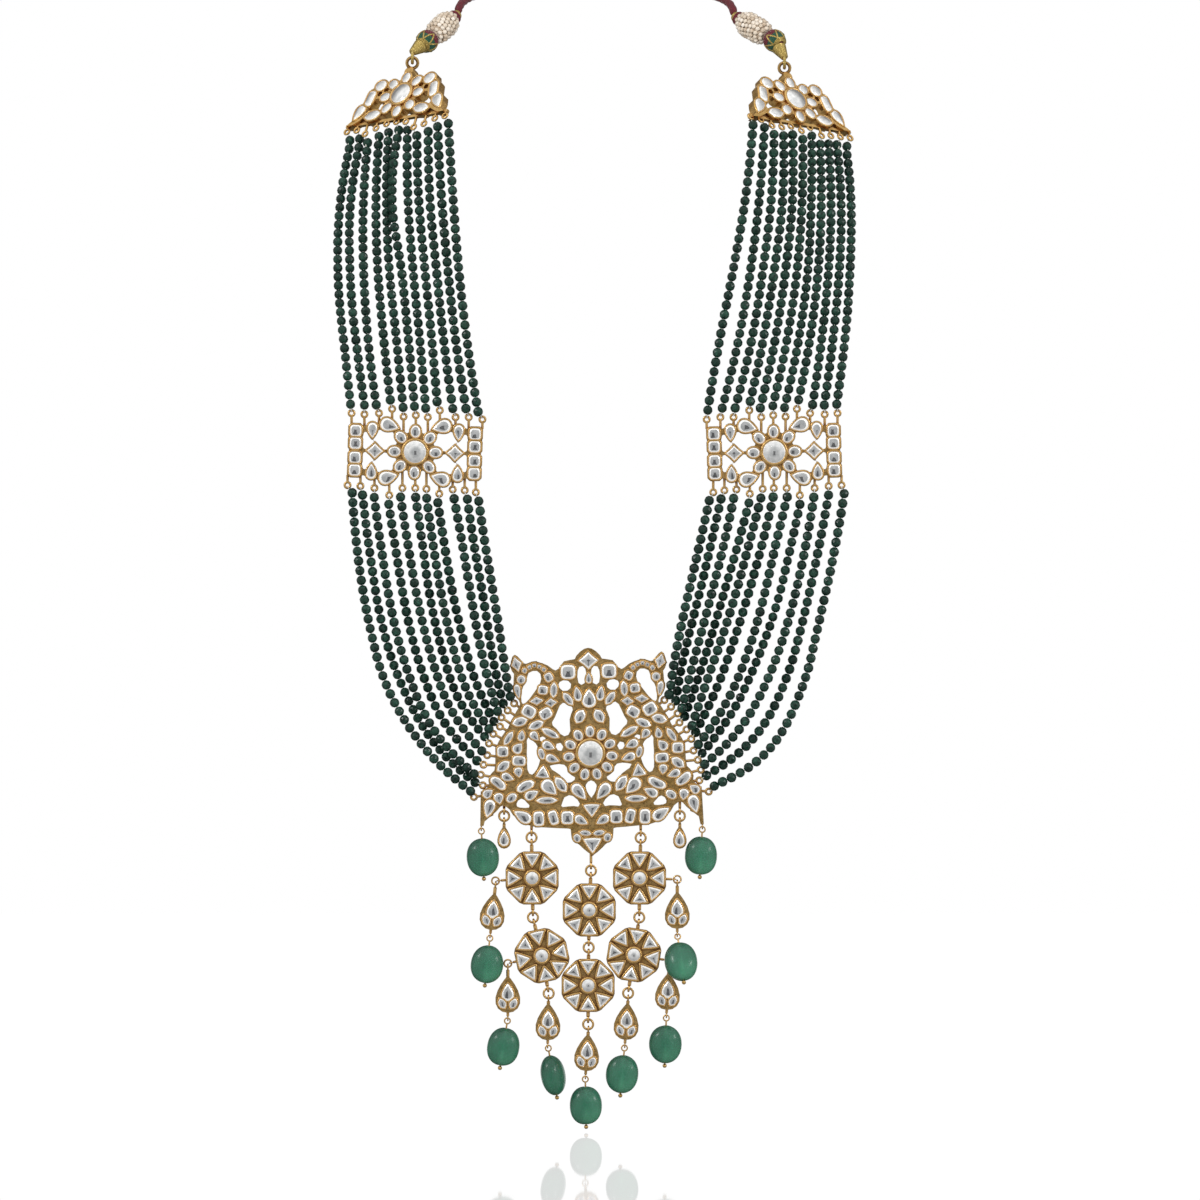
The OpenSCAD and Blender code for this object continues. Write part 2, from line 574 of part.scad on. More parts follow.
module at_spacer(side) {
    at = side < 0 ? left_spacer_at : right_spacer_at;
    translate([at.x, 0, at.y])
        children();
}

module glass_seat(lift) {
    difference() {
        union() {
            children();
            cylinder(h = plate_t + lift, r = plate_bezel_r, $fn = 48);
        }
        translate([0, 0, plate_t - pocket + lift])
            cylinder(h = 5, d = plate_glass_d, $fn = 48);
    }
}

// Height at which the stem of a spacer's loop ends inside the gold
function stem_foot(x) = abs(x) > 2 && abs(x) < 6 ? 6.3 : abs(x) > 10.5 && abs(x) < 13.6 ? 8.3 : 8;

module spacer(side) {
    color(gold)
        at_spacer(side) {
            rotate([0, -side * spacer_lean, 0])
                upright()
                    glass_seat(0.6)
                        set_plate(spacer_rows, spacer_rows) {
                            circle(r = plate_bezel_r, $fn = 48);
                            for (s = [-1, 1])
                                for (u = [-1, 1]) {
                                    translate([s * 17.6, u * 8.1])
                                        square([2.2, 1.3], center = true);
                                    translate([s * 12.6, u * 8])
                                        square([2.6, 1.3], center = true);
                                    translate([s * 7, u * 7.2])
                                        square([1.6, 1.6], center = true);
                                }
                            square([37, 1.1], center = true);
                        }
            for (l = spacer_top_loops)
                face_loop([-side * l.x, l.y], l.y - stem_foot(l.x), -90);
            for (l = spacer_foot_loops)
                face_loop([-side * l.x, l.y], -l.y - stem_foot(l.x), 90);
        }
}

module spacer_stones(side) {
    color(glass)
        at_spacer(side)
            rotate([0, -side * spacer_lean, 0])
                upright() {
                    for (r = spacer_rows)
                        cut_stone(r);
                    round_glass(plate_glass_d, 0.6);
                }
}

// Caps
cap_rows = [
    for (r = cap_half) r,
    for (r = cap_half) mirrored_row(r),
    for (r = small_flower) r
];
function cap_loop(side, i) =
    [side * (5 - i) * cap_pitch, cap_foot - (side < 0 ? left_cap_drops : right_cap_drops)[i]];

module at_cap(side) {
    at = side < 0 ? left_cap_at : right_cap_at;
    translate(at)
        rotate([cap_turn.x, -side * cap_turn.y, -side * cap_turn.z])
            children();
}

module cap(side) {
    bail = side < 0 ? left_end[0] : right_end[0];
    color(gold) {
        at_cap(side) {
            upright()
                glass_seat(0.6)
                    set_plate(cap_rows, cap_rows, notch, cap_depth) {
                        circle(r = plate_bezel_r, $fn = 48);
                        translate([0, 10.1])
                            circle(r = 1.9, $fn = 24);
                        for (s = [-1, 1]) {
                            polygon([for (p = [[16.4, -6.2], [20.2, -9.1], [21.4, -10.2],
                                [18.6, -10.2], [15.4, -8.4]]) [s * p.x, p.y]]);
                            translate([s * 14.6, -7.2])
                                square([2.4, 1.3], center = true);
                            translate([s * 11, 0.4])
                                square([7, 1], center = true);
                            translate([s * 8.6, 4.9])
                                square([2, 1.6], center = true);
                            translate([s * 12.6, 3.8])
                                square([1.8, 1.4], center = true);
                        }
                    }
            upright()
                translate([-22.2, -10.15, 0])
                    cube([44.4, 1.1, 1.25]);
            for (i = [0:10])
                face_loop(cap_loop(side, i), max(loop_r + 0.3, -cap_loop(side, i).y - 9.2), 90);
        }
        translate(bail)
            rotate([90, 0, 0])
                rotate_extrude($fn = 48)
                    polygon([for (a = [15:30:345]) [1.9 + 0.6 * cos(a), 1.26 * sin(a)]]);
    }
}

module cap_stones(side) {
    color(glass)
        at_cap(side)
            upright() {
                for (r = cap_rows)
                    cut_stone(r);
                round_glass(plate_glass_d, 0.6);
            }
}

// Smooth route through a list of places
function past(a, b, c) = c + 3 * (a - b);
function route_point(p, k) =
    let (n = len(p) - 1, i = min(n - 1, floor(k * n)), t = k * n - i,
        a = i == 0 ? past(p[0], p[1], p[2]) : p[i - 1],
        d = i == n - 1 ? past(p[n], p[n - 1], p[n - 2]) : p[i + 2])
    0.5 * (2 * p[i] + (p[i + 1] - a) * t + (2 * a - 5 * p[i] + 4 * p[i + 1] - d) * t * t
        + (3 * p[i] - a - 3 * p[i + 1] + d) * t * t * t);
function route(p, steps) = [for (i = [0:steps]) route_point(p, i / steps)];

// Tube along a route, with a radius for every point
module tube(points, radii, sides) {
    n = len(points) - 1;
    side_of = [for (i = [0:n])
        let (t = unit_of(points[min(n, i + 1)] - points[max(0, i - 1)])) unit_of(cross(t, [0, 1, 0]))];
    up_of = [for (i = [0:n])
        let (t = unit_of(points[min(n, i + 1)] - points[max(0, i - 1)])) cross(side_of[i], t)];
    polyhedron(
        points = [for (i = [0:n]) for (j = [0:sides - 1]) let (a = 360 * j / sides)
            points[i] + radii[i] * (cos(a) * side_of[i] + sin(a) * up_of[i])],
        faces = [[for (j = [0:sides - 1]) j],
            [for (j = [0:sides - 1]) n * sides + sides - 1 - j],
            for (i = [0:n - 1]) for (j = [0:sides - 1])
                [i * sides + j, (i + 1) * sides + j, (i + 1) * sides + (j + 1) % sides,
                    i * sides + (j + 1) % sides]]
    );
}

// One string: a tube as thick as its beads, with a thread at each end that stops at a loop
module string_tube(places, hook_a, hook_b) {
    steps = max(7, round(norm(places[len(places) - 1] - places[0]) / 10));
    body = route(places, steps);
    a = body[0];
    b = body[steps];
    ta = unit_of(a - body[1]);
    tb = unit_of(b - body[steps - 1]);
    stop = loop_out + 0.2;
    end_a = hook_a + stop * unit_of(a - hook_a);
    end_b = hook_b + stop * unit_of(b - hook_b);
    half = bead_d / 2 - 0.3;
    tube(
        [end_a, a + half * ta, for (i = [1:steps - 1]) body[i], b + half * tb, end_b],
        [thread_d / 2, for (i = [0:steps]) bead_d / 2, thread_d / 2],
        tube_sides
    );
}

// Loops where the strings end
function turn_x(v, a) = [v.x, v.y * cos(a) - v.z * sin(a), v.y * sin(a) + v.z * cos(a)];
function turn_y(v, a) = [v.x * cos(a) + v.z * sin(a), v.y, -v.x * sin(a) + v.z * cos(a)];
function turn_z(v, a) = [v.x * cos(a) - v.y * sin(a), v.x * sin(a) + v.y * cos(a), v.z];
function cap_hook(side, i) =
    let (l = cap_loop(side, i), t = -side * cap_turn)
    (side < 0 ? left_cap_at : right_cap_at)
        + turn_z(turn_y(turn_x([l.x, loop_y, l.y], cap_turn.x), t.y), t.z);
function spacer_hook(side, l) =
    side < 0 ? [left_spacer_at.x + l.x, loop_y, left_spacer_at.y + l.y]
        : [right_spacer_at.x - l.x, loop_y, right_spacer_at.y + l.y];
function pendant_hook(side, i) =
    let (l = side_loops[10 - i]) turn_y([side * l[0], loop_y, l[1]], -pendant_lean) + [0, 0, pendant_z];

// Upper strings lean back from the spacer to the cap
function upper_places(row, hook) =
    [for (i = [0:4]) let (t = 1 - i / 4)
        [row[2 + i], hook.y * pow(t, 1.4) - (i > 0 && i < 4 ? row[6 + i] : 0),
            row[1] + (row[0] - row[1]) * t]];
function lower_places(row, k) =
    [for (i = [0:5]) [row[2 * i], (k % 2 == 0 ? -1 : 1) * lower_layers[i], row[2 * i + 1]]];

module upper_strings(side) {
    rows = side < 0 ? left_upper : right_upper;
    color(emerald)
        for (i = [0:10])
            string_tube(upper_places(rows[i], cap_hook(side, i)), cap_hook(side, i),
                spacer_hook(side, spacer_top_loops[i]));
}

module lower_strings(side) {
    rows = side < 0 ? left_lower : right_lower;
    color(emerald)
        for (i = [0:10])
            string_tube(lower_places(rows[i], i), spacer_hook(side, spacer_foot_loops[i]),
                pendant_hook(side, i));
}

// Cord ends
module between(p, q) {
    d = q - p;
    translate(p)
        rotate([0, acos(d.z / norm(d)), atan2(d.y, d.x)])
            children();
}

ball_r = 4.1;
bundle_r = 4.7;
tip_len = 3.4;
neck_lift = 3.8;
function end_of(side) = side < 0 ? left_end : right_end;

module wrapped_neck(side) {
    e = end_of(side);
    color(gold) {
        translate(e[0] + [0, 0, 2.1])
            rotate([0, 90, 0])
                rotate_extrude($fn = 40)
                    translate([2.1, 0])
                        circle(r = 0.6, $fn = 16);
        between(e[0] + [0, 0, neck_lift], e[1])
            cylinder(h = norm(e[1] - e[0] - [0, 0, neck_lift]) - ball_r - 0.1, r1 = 1.1, r2 = 2.5, $fn = 24);
    }
}

module thread_ball(side) {
    e = end_of(side);
    color(maroon)
        translate(e[1])
            sphere(r = ball_r, $fn = 40);
}

module pearl_bundle(side) {
    e = end_of(side);
    l = norm(e[2] - e[1]) - ball_r - tip_len - 0.6;
    color(pearl)
        between(e[1], e[2])
            translate([0, 0, ball_r + 0.1])
                rotate_extrude($fn = 48)
                    polygon([[0, 0], [1.6, 0], [3.9, 1.4], [bundle_r, 4], [bundle_r, l - 4.5],
                        [3.9, l - 1.6], [1.9, l], [0, l]]);
}

module tip(side) {
    e = end_of(side);
    d = norm(e[2] - e[1]);
    color(gold)
        between(e[1], e[2])
            translate([0, 0, d - tip_len - 0.4])
                rotate_extrude($fn = 40)
                    polygon([[0, 0], [2.3, 0], [2.6, 0.9], [2.3, 1.8], [1.7, tip_len - 0.1],
                        [0, tip_len - 0.1]]);
}

module neck_cord() {
    steps = 30;
    color(maroon)
        tube(route(cord_route, steps), [for (i = [0:steps]) i % steps == 0 ? 0.9 : cord_d / 2], 8);
}

// Fringe
medallion_glass_d = 4.6;
medallion_rows = [
    for (k = [0:7]) let (a = 45 * k, c = turned([6.65, 0], a)) [c.x, c.y, 3.6, 5.2, a + 180, "tri"]
];
function side_ring(t) =
    [t[0] - sin(t[2]) * t[3], t[1] + cos(t[2]) * t[3] + side_link_r];

module medallion_shape() {
    intersection() {
        rotate(22.5)
            circle(r = medallion_w / 2 / cos(22.5), $fn = 8);
        circle(r = medallion_w / 2 + 0.45, $fn = 48);
    }
}

// Soldered arm with its loop round the wire of a ring at a place from the medallion's centre
module arm(to, ring_r, flat) {
    reach = norm(to) - ring_r;
    start = medallion_w / 2 - 0.5;
    loop = flat ? 0.75 : 0.95;
    rotate([0, 90 - atan2(to.y, to.x), 0]) {
        translate([0, 0, start])
            cylinder(h = reach - loop - start + 0.1, d = flat ? 0.9 : 1.3, $fn = 16);
        translate([0, 0, reach])
            edge_loop(loop, flat ? 0.5 : loop_wire);
    }
}

module medallion(i) {
    m = medallions[i];
    centre = [m[0], m[1]];
    color(gold)
        translate([m[0], 0, m[1]]) {
            rotate([0, -m[2], 0])
                upright()
                    difference() {
                        union() {
                            linear_extrude(medallion_t)
                                medallion_shape();
                            cylinder(h = plate_t + 0.7, d = medallion_glass_d + 1.5, $fn = 32);
                            linear_extrude(plate_t + 0.35)
                                intersection() {
                                    offset(delta = -0.12)
                                        medallion_shape();
                                    stone_shapes(medallion_rows, 0.9);
                                }
                        }
                        translate([0, 0, plate_t - 0.5])
                            linear_extrude(3)
                                stone_shapes(medallion_rows, 0);
                        translate([0, 0, plate_t - pocket + 0.7])
                            cylinder(h = 5, d = medallion_glass_d, $fn = 32);
                    }
            arm(links[m[3]] - centre, link_r, false);
            arm(links[m[4]] - centre, link_r, false);
            if (m[5] >= 0)
                arm(side_ring(teardrops[m[5]]) - centre, side_link_r, true);
        }
}

module medallion_stones() {
    color(glass)
        for (m = medallions)
            translate([m[0], 0, m[1]])
                rotate([0, -m[2], 0])
                    upright()
                        round_small(medallion_glass_d, 0.7);
}

module round_small(d, lift) {
    r = d / 2 - seat_gap;
    z0 = plate_t - pocket + seat_gap + lift;
    dome = 0.7;
    big = (r * r + dome * dome) / (2 * dome);
    intersection() {
        translate([0, 0, z0])
            cylinder(h = 6, r = r, $fn = 32);
        translate([0, 0, z0 + 0.9 + dome - big])
            sphere(r = big, $fn = 32);
    }
}

// Teardrops
teardrop_t = 3.4;

function teardrop_outline(h, w) =
    [for (i = [0:17]) let (a = 20 * i) [0.65 * w * sin(a) * sin(a / 2), -h / 2 + h / 2 * cos(a)]];
teardrop_rows = [
    [0, -5.9, 6.4, 4.4, 90, "drop"],
    [-1.95, -9.9, 4.2, 3, 118, "leaf"],
    [1.95, -9.9, 4.2, 3, 62, "leaf"]
];

module at_teardrop(t) {
    translate([t[0], 0, t[1]])
        rotate([0, -t[2], 0])
            children();
}

module teardrop(i) {
    t = teardrops[i];
    color(gold)
        at_teardrop(t) {
            difference() {
                upright(teardrop_t)
                    linear_extrude(teardrop_t)
                        polygon(teardrop_outline(teardrop_size[0], teardrop_size[1]));
                translate([0, -teardrop_t / 2 + pocket, 0])
                    rotate([90, 0, 0])
                        linear_extrude(3)
                            stone_shapes(teardrop_rows, 0);
            }
            translate([0, 0, t[3]])
                edge_loop(0.95, 0.65);
            translate([0, 0, -1.4])
                cylinder(h = t[3] + 0.45, d = 1.2, $fn = 16);
            translate([0, 0, -teardrop_size[0] - 1.9]) {
                edge_loop(0.75, 0.5);
                translate([0, 0, 0.7])
                    cylinder(h = 1.8, d = 1, $fn = 16);
            }
        }
}

module teardrop_stones() {
    color(glass)
        for (t = teardrops)
            at_teardrop(t)
                translate([0, -teardrop_t / 2 + plate_t / 2, 0])
                    upright()
                        cut_stone(teardrop_rows[0]);
}

module small_drops() {
    color(gold)
        for (i = [9, 10])
            translate([links[i].x, 0, links[i].y - link_r]) {
                edge_loop(0.95, loop_wire);
                translate([0, 0, -2.2])
                    cylinder(h = 1.3, d = 1.1, $fn = 16);
                translate([0, 0, -1.5])
                    difference() {
                        upright()
                            linear_extrude(plate_t)
                                polygon(teardrop_outline(small_drop_size[0], small_drop_size[1]));
                        translate([0, -plate_t / 2 + pocket, 0])
                            rotate([90, 0, 0])
                                linear_extrude(3)
                                    stone_shapes([[0, -4.6, 5.2, 3.2, 90, "drop"]], 0);
                    }
            }
}

module fringe_rings() {
    color(gold) {
        for (l = links)
            jump_ring(l, link_r, link_wire);
        for (i = [0:3])
            jump_ring(side_ring(teardrops[i]), side_link_r, side_link_wire);
    }
}

// Green stone beads on head pins
module at_pin(b) {
    translate([b[0], 0, b[1] + eye_r])
        rotate([-b[3], 0, 0])
            rotate([0, -b[2], 0])
                translate([0, 0, -eye_r])
                    children();
}
function bead_drop(b) = eye_r + eye_wire / 2 + pin_neck + green_bead.z * b[5] / 2;

module green_bead(i) {
    b = beads[i];
    color(jade)
        at_pin(b)
            translate([0, 0, -bead_drop(b)])
                difference() {
                    rotate([0, 0, b[4]])
                        scale([green_bead.x, green_bead.y, green_bead.z * b[5]])
                            sphere(d = 1, $fn = 48);
                    cylinder(h = 20, d = 1, center = true, $fn = 24);
                }
}

module head_pins() {
    color(gold)
        for (b = beads)
            at_pin(b) {
                rotate([90, 0, 0])
                    rotate_extrude($fn = 32)
                        translate([eye_r, 0])
                            circle(d = eye_wire, $fn = 16);
                foot = bead_drop(b) + green_bead.z * b[5] / 2;
                translate([0, 0, -foot - 0.4])
                    cylinder(h = foot + 0.4 - eye_r, d = 0.6, $fn = 16);
                translate([0, 0, -foot - 0.75])
                    sphere(d = 1.5, $fn = 24);
            }
}

module worn() {
    translate(-nape)
        children();
}

module one(name) {
    worn()
            children();
}

one("pendant_plate") pendant_plate();
one("pendant_stones") pendant_stones();
one("pendant_centre_stone") pendant_centre_stone();
one("left_upper_strings") upper_strings(-1);
one("right_upper_strings") upper_strings(1);
one("left_lower_strings") lower_strings(-1);
one("right_lower_strings") lower_strings(1);
one("left_spacer") spacer(-1);
one("right_spacer") spacer(1);
one("left_spacer_stones") spacer_stones(-1);
one("right_spacer_stones") spacer_stones(1);
one("left_cap") cap(-1);
one("right_cap") cap(1);
one("left_cap_stones") cap_stones(-1);
one("right_cap_stones") cap_stones(1);
one("left_wrapped_neck") wrapped_neck(-1);
one("right_wrapped_neck") wrapped_neck(1);
one("left_thread_ball") thread_ball(-1);
one("right_thread_ball") thread_ball(1);
one("left_pearl_bundle") pearl_bundle(-1);
one("right_pearl_bundle") pearl_bundle(1);
one("left_tip") tip(-1);
one("right_tip") tip(1);
one("neck_cord") neck_cord();
for (i = [0:5])
    one(str("medallion_", i + 1)) medallion(i);
one("medallion_stones") medallion_stones();
for (i = [0:6])
    one(str("teardrop_", i + 1)) teardrop(i);
one("teardrop_stones") teardrop_stones();
one("small_drops") small_drops();
one("fringe_rings") fringe_rings();
for (i = [0:8])
    one(str("green_bead_", i + 1)) green_bead(i);
one("head_pins") head_pins();
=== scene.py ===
"""Looks of a long green bead necklace with a pierced peacock pendant.

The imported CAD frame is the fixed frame. Bead strings, cut stones, gold rims, stone beads and cord
ends are built here in millimetres, with heights above the foot, and moved to the nape's frame.
"""
import math
import random

import bpy
import numpy as np
from mathutils import Matrix, Vector


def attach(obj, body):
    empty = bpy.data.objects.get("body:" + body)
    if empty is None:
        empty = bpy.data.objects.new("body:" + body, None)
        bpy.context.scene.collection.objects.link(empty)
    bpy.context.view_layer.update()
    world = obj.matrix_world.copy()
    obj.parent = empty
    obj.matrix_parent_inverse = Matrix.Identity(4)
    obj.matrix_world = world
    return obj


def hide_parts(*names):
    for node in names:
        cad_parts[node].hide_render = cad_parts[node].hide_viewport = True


# The nape above the foot, and the depths of the plates' and the teardrops' fronts, in millimetres
NAPE = np.array([0.0, 112.0, 403.0])
PLATE_FRONT = -1.1
TEARDROP_FRONT = -1.7
MM = 0.001
RIGHT, BACK, UP = np.eye(3)

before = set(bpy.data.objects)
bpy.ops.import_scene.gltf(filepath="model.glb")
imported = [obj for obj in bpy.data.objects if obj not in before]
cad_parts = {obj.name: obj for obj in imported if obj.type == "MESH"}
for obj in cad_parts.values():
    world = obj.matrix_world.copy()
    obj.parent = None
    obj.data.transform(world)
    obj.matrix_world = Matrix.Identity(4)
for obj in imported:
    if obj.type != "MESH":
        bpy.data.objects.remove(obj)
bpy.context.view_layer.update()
chance = random.Random(11)


# Mesh building

class Shape:
    """Faces in millimetres above the foot, gathered into one mesh."""

    def __init__(self):
        self.points = []
        self.faces = []
        self.smooth = []
        self.slots = []
        self.tints = []

    def add(self, points, faces, smooth=True, slot=0, tint=0.5):
        """Add faces. A list of tints has one for each point."""
        first = len(self.points)
        self.points.extend([tuple(p) for p in points])
        self.tints.extend(tint if hasattr(tint, "__len__") else [tint] * len(points))
        for face in faces:
            self.faces.append(tuple(first + i for i in face))
        self.smooth.extend([smooth] * len(faces))
        self.slots.extend([slot] * len(faces))

    def piece(self, name, materials, slot_name, stands_for=()):
        """Make a piece of all faces, which stands for some nodes of the frame."""
        mesh = bpy.data.meshes.new(name)
        places = (np.array(self.points) - NAPE) * MM
        mesh.from_pydata(places.tolist(), [], self.faces)
        mesh.polygons.foreach_set("use_smooth", self.smooth)
        mesh.polygons.foreach_set("material_index", self.slots)
        tint = mesh.attributes.new("tint", "FLOAT", "POINT")
        tint.data.foreach_set("value", self.tints)
        for material in materials:
            mesh.materials.append(material)
        mesh.update()
        piece = bpy.data.objects.new(name, mesh)
        bpy.context.scene.collection.objects.link(piece)
        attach(piece, "root")
        if stands_for:
            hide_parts(*stands_for)
        return piece


def unit(v):
    """A direction of length one."""
    return v / max(np.linalg.norm(v), 1e-9)


def away_from(axis):
    """A direction that is clearly not along an axis."""
    return BACK if abs(axis[1]) < 0.9 else RIGHT


def band_faces(rings, sides, closed=False):
    """Quads between rings of points that lie one after the other."""
    faces = []
    for i in range(rings if closed else rings - 1):
        k = (i + 1) % rings
        for j in range(sides):
            m = (j + 1) % sides
            faces.append((i * sides + j, i * sides + m, k * sides + m, k * sides + j))
    return faces


def end_face(ring, sides):
    """A face over one ring of points."""
    return tuple(ring * sides + j for j in range(sides))


def rod_faces(rings, sides):
    """Quads between rings, and a face over each end."""
    return band_faces(rings, sides) + [end_face(0, sides)[::-1], end_face(rings - 1, sides)]


def ring_points(middle, radius, one, two, sides):
    """A circle of points in the plane of two directions."""
    points = []
    for j in range(sides):
        a = 2 * math.pi * j / sides
        points.append(middle + radius * (math.cos(a) * one + math.sin(a) * two))
    return points


def tube(shape, path, radii, sides=8, closed=False, slot=0):
    """A tube along a path, with one radius or a radius for every point."""
    path = [np.array(p, float) for p in path]
    n = len(path)
    if not hasattr(radii, "__len__"):
        radii = [radii] * n
    before = None
    points = []
    for i, p in enumerate(path):
        after = path[(i + 1) % n] if closed else path[min(n - 1, i + 1)]
        behind = path[(i - 1) % n] if closed else path[max(0, i - 1)]
        along = unit(after - behind)
        if before is None:
            before = unit(np.cross(along, away_from(along)))
        before = unit(before - along * np.dot(before, along))
        points.extend(ring_points(p, radii[i], before, np.cross(along, before), sides))
    faces = band_faces(n, sides, True) if closed else rod_faces(n, sides)
    shape.add(points, faces, slot=slot)


def frame_along(axis):
    """Two directions across an axis, and the one along it."""
    axis = unit(np.array(axis, float))
    side = unit(np.cross(away_from(axis), axis))
    return side, np.cross(axis, side), axis


def turned(shape, base, axis, profile, sides=28, slot=0, tint=0.5):
    """A solid of revolution. The profile's rows are height along the axis and radius."""
    side, other, along = frame_along(axis)
    points = []
    for height, radius in profile:
        points.extend(ring_points(np.array(base) + height * along, radius, side, other, sides))
    shape.add(points, band_faces(len(profile), sides), slot=slot, tint=tint)


def ball(shape, middle, radius, axis, sides, rings, tint):
    """A round bead, pinched a little at its drill hole."""
    profile = []
    for i in range(rings + 1):
        a = math.pi * (i + 0.35) / (rings + 0.7)
        profile.append((-radius * 0.97 * math.cos(a), radius * math.sin(a)))
    turned(shape, np.array(middle), axis, profile, sides, tint=tint)


# Smooth lines

def smooth_line(places, fine=10):
    """A curve through places, and the length up to each of its points."""
    p = [np.array(q, float) for q in places]
    first = p[2] + 3 * (p[0] - p[1]) if len(p) > 2 else 2 * p[0] - p[1]
    last = p[-3] + 3 * (p[-1] - p[-2]) if len(p) > 2 else 2 * p[-1] - p[-2]
    q = [first] + p + [last]
    curve = []
    for i in range(1, len(q) - 2):
        for k in range(fine):
            t = k / fine
            curve.append(0.5 * (2 * q[i] + (q[i + 1] - q[i - 1]) * t
                                + (2 * q[i - 1] - 5 * q[i] + 4 * q[i + 1] - q[i + 2]) * t * t
                                + (3 * q[i] - q[i - 1] - 3 * q[i + 1] + q[i + 2]) * t ** 3))
    curve.append(p[-1])
    curve = np.array(curve)
    steps = np.linalg.norm(np.diff(curve, axis=0), axis=1)
    return curve, np.concatenate([[0], np.cumsum(steps)])


def at_length(curve, lengths, s):
    """The place on a curve at a length from its start."""
    return np.array([np.interp(s, lengths, curve[:, k]) for k in range(3)])


# Materials

def material(name, color, rough, metal=0.0):
    """A plain material, its node tree and its shader."""
    made = bpy.data.materials.new(name)
    made.use_nodes = True
    made.diffuse_color = (*color, 1)
    shader = made.node_tree.nodes["Principled BSDF"]
    shader.inputs["Base Color"].default_value = (*color, 1)
    shader.inputs["Roughness"].default_value = rough
    shader.inputs["Metallic"].default_value = metal
    return made, made.node_tree, shader


def noise(tree, scale, detail, stretch=None):
    """Noise in the piece's own metres."""
    place = tree.nodes.new("ShaderNodeTexCoord")
    vector = place.outputs["Object"]
    if stretch:
        mapping = tree.nodes.new("ShaderNodeMapping")
        mapping.inputs["Scale"].default_value = stretch
        tree.links.new(vector, mapping.inputs["Vector"])
        vector = mapping.outputs["Vector"]
    texture = tree.nodes.new("ShaderNodeTexNoise")
    texture.inputs["Scale"].default_value = scale
    texture.inputs["Detail"].default_value = detail
    texture.inputs["Roughness"].default_value = 0.55
    tree.links.new(vector, texture.inputs["Vector"])
    return texture.outputs["Fac"]


def ramp(tree, value, stops):
    """A colour ramp. The stops' rows are place and colour."""
    node = tree.nodes.new("ShaderNodeValToRGB")
    node.color_ramp.interpolation = "EASE"
    marks = node.color_ramp.elements
    marks[0].position = stops[0][0]
    marks[1].position = stops[-1][0]
    for place, _ in stops[1:-1]:
        marks.new(place)
    for mark, (_, color) in zip(marks, stops):
        mark.color = (*color, 1)
    tree.links.new(value, node.inputs["Fac"])
    return node.outputs["Color"]


def level(tree, value, low, high, to_low, to_high):
    """A value from one range taken to another."""
    node = tree.nodes.new("ShaderNodeMapRange")
    for key, number in zip(("From Min", "From Max", "To Min", "To Max"), (low, high, to_low, to_high)):
        node.inputs[key].default_value = number
    tree.links.new(value, node.inputs["Value"])
    return node.outputs["Result"]


def mixed(tree, share, one, two, how="MIX"):
    """Two colours mixed, each a socket or a colour."""
    node = tree.nodes.new("ShaderNodeMix")
    node.data_type = "RGBA"
    node.blend_type = how
    for key, item in ((0, share), (6, one), (7, two)):
        if isinstance(item, bpy.types.NodeSocket):
            tree.links.new(item, node.inputs[key])
        else:
            node.inputs[key].default_value = item if key == 0 else (*item, 1)
    return node.outputs[2]


def bumpy(tree, shader, height, strength, distance):
    """A fine relief on the surface."""
    node = tree.nodes.new("ShaderNodeBump")
    node.inputs["Strength"].default_value = strength
    node.inputs["Distance"].default_value = distance
    tree.links.new(height, node.inputs["Height"])
    tree.links.new(node.outputs["Normal"], shader.inputs["Normal"])


def tint_of(tree):
    """The tint that each point of a shape carries."""
    node = tree.nodes.new("ShaderNodeAttribute")
    node.attribute_name = "tint"
    return node.outputs["Fac"]


def gold_material(name, light, dark, shade_color, rough):
    """Worn gold in two tones, with painted shade: darker and redder in its crevices, where ambient
    occlusion finds them.
    """
    made, tree, shader = material(name, light, rough, 1.0)
    worn = ramp(tree, noise(tree, 420, 4), [(0.3, dark), (0.62, light)])
    # Painted shade: ambient occlusion mixes the dark red shade colour into crevices
    painted_shade_ao = tree.nodes.new("ShaderNodeAmbientOcclusion")
    painted_shade_ao.samples = 6
    painted_shade_ao.inputs["Distance"].default_value = 0.0016
    unshaded_share = level(tree, painted_shade_ao.outputs["AO"], 0.30, 0.86, 0, 1)
    color = mixed(tree, unshaded_share, shade_color, worn)
    tree.links.new(color, shader.inputs["Base Color"])
    tree.links.new(level(tree, noise(tree, 900, 3), 0.3, 0.7, rough - 0.07, rough + 0.1),
                   shader.inputs["Roughness"])
    bumpy(tree, shader, noise(tree, 1500, 3), 0.35, 0.00012)
    return made


def foiled_glass():
    """Clear glass over foil. The tint is 0 on the table, which mirrors, and 1 on the bevel, which is
    painted near-white and made matt as a painted reflection of the white studio.
    """
    made, tree, shader = material("foiled_glass", (0.80, 0.80, 0.79), 0.07, 0.9)
    table = ramp(tree, noise(tree, 700, 2), [(0.3, (0.66, 0.67, 0.665)), (0.65, (0.86, 0.86, 0.85))])
    bevel = tint_of(tree)
    # Painted reflection: the bevel's near-white, less metallic colour stands in for the white light its
    # facets reflect
    tree.links.new(mixed(tree, bevel, table, (0.93, 0.93, 0.91)), shader.inputs["Base Color"])
    tree.links.new(level(tree, bevel, 0, 1, 0.92, 0.25), shader.inputs["Metallic"])
    tree.links.new(level(tree, bevel, 0, 1, 0.035, 0.22), shader.inputs["Roughness"])
    bumpy(tree, shader, noise(tree, 400, 1), 0.06, 0.0001)
    return made


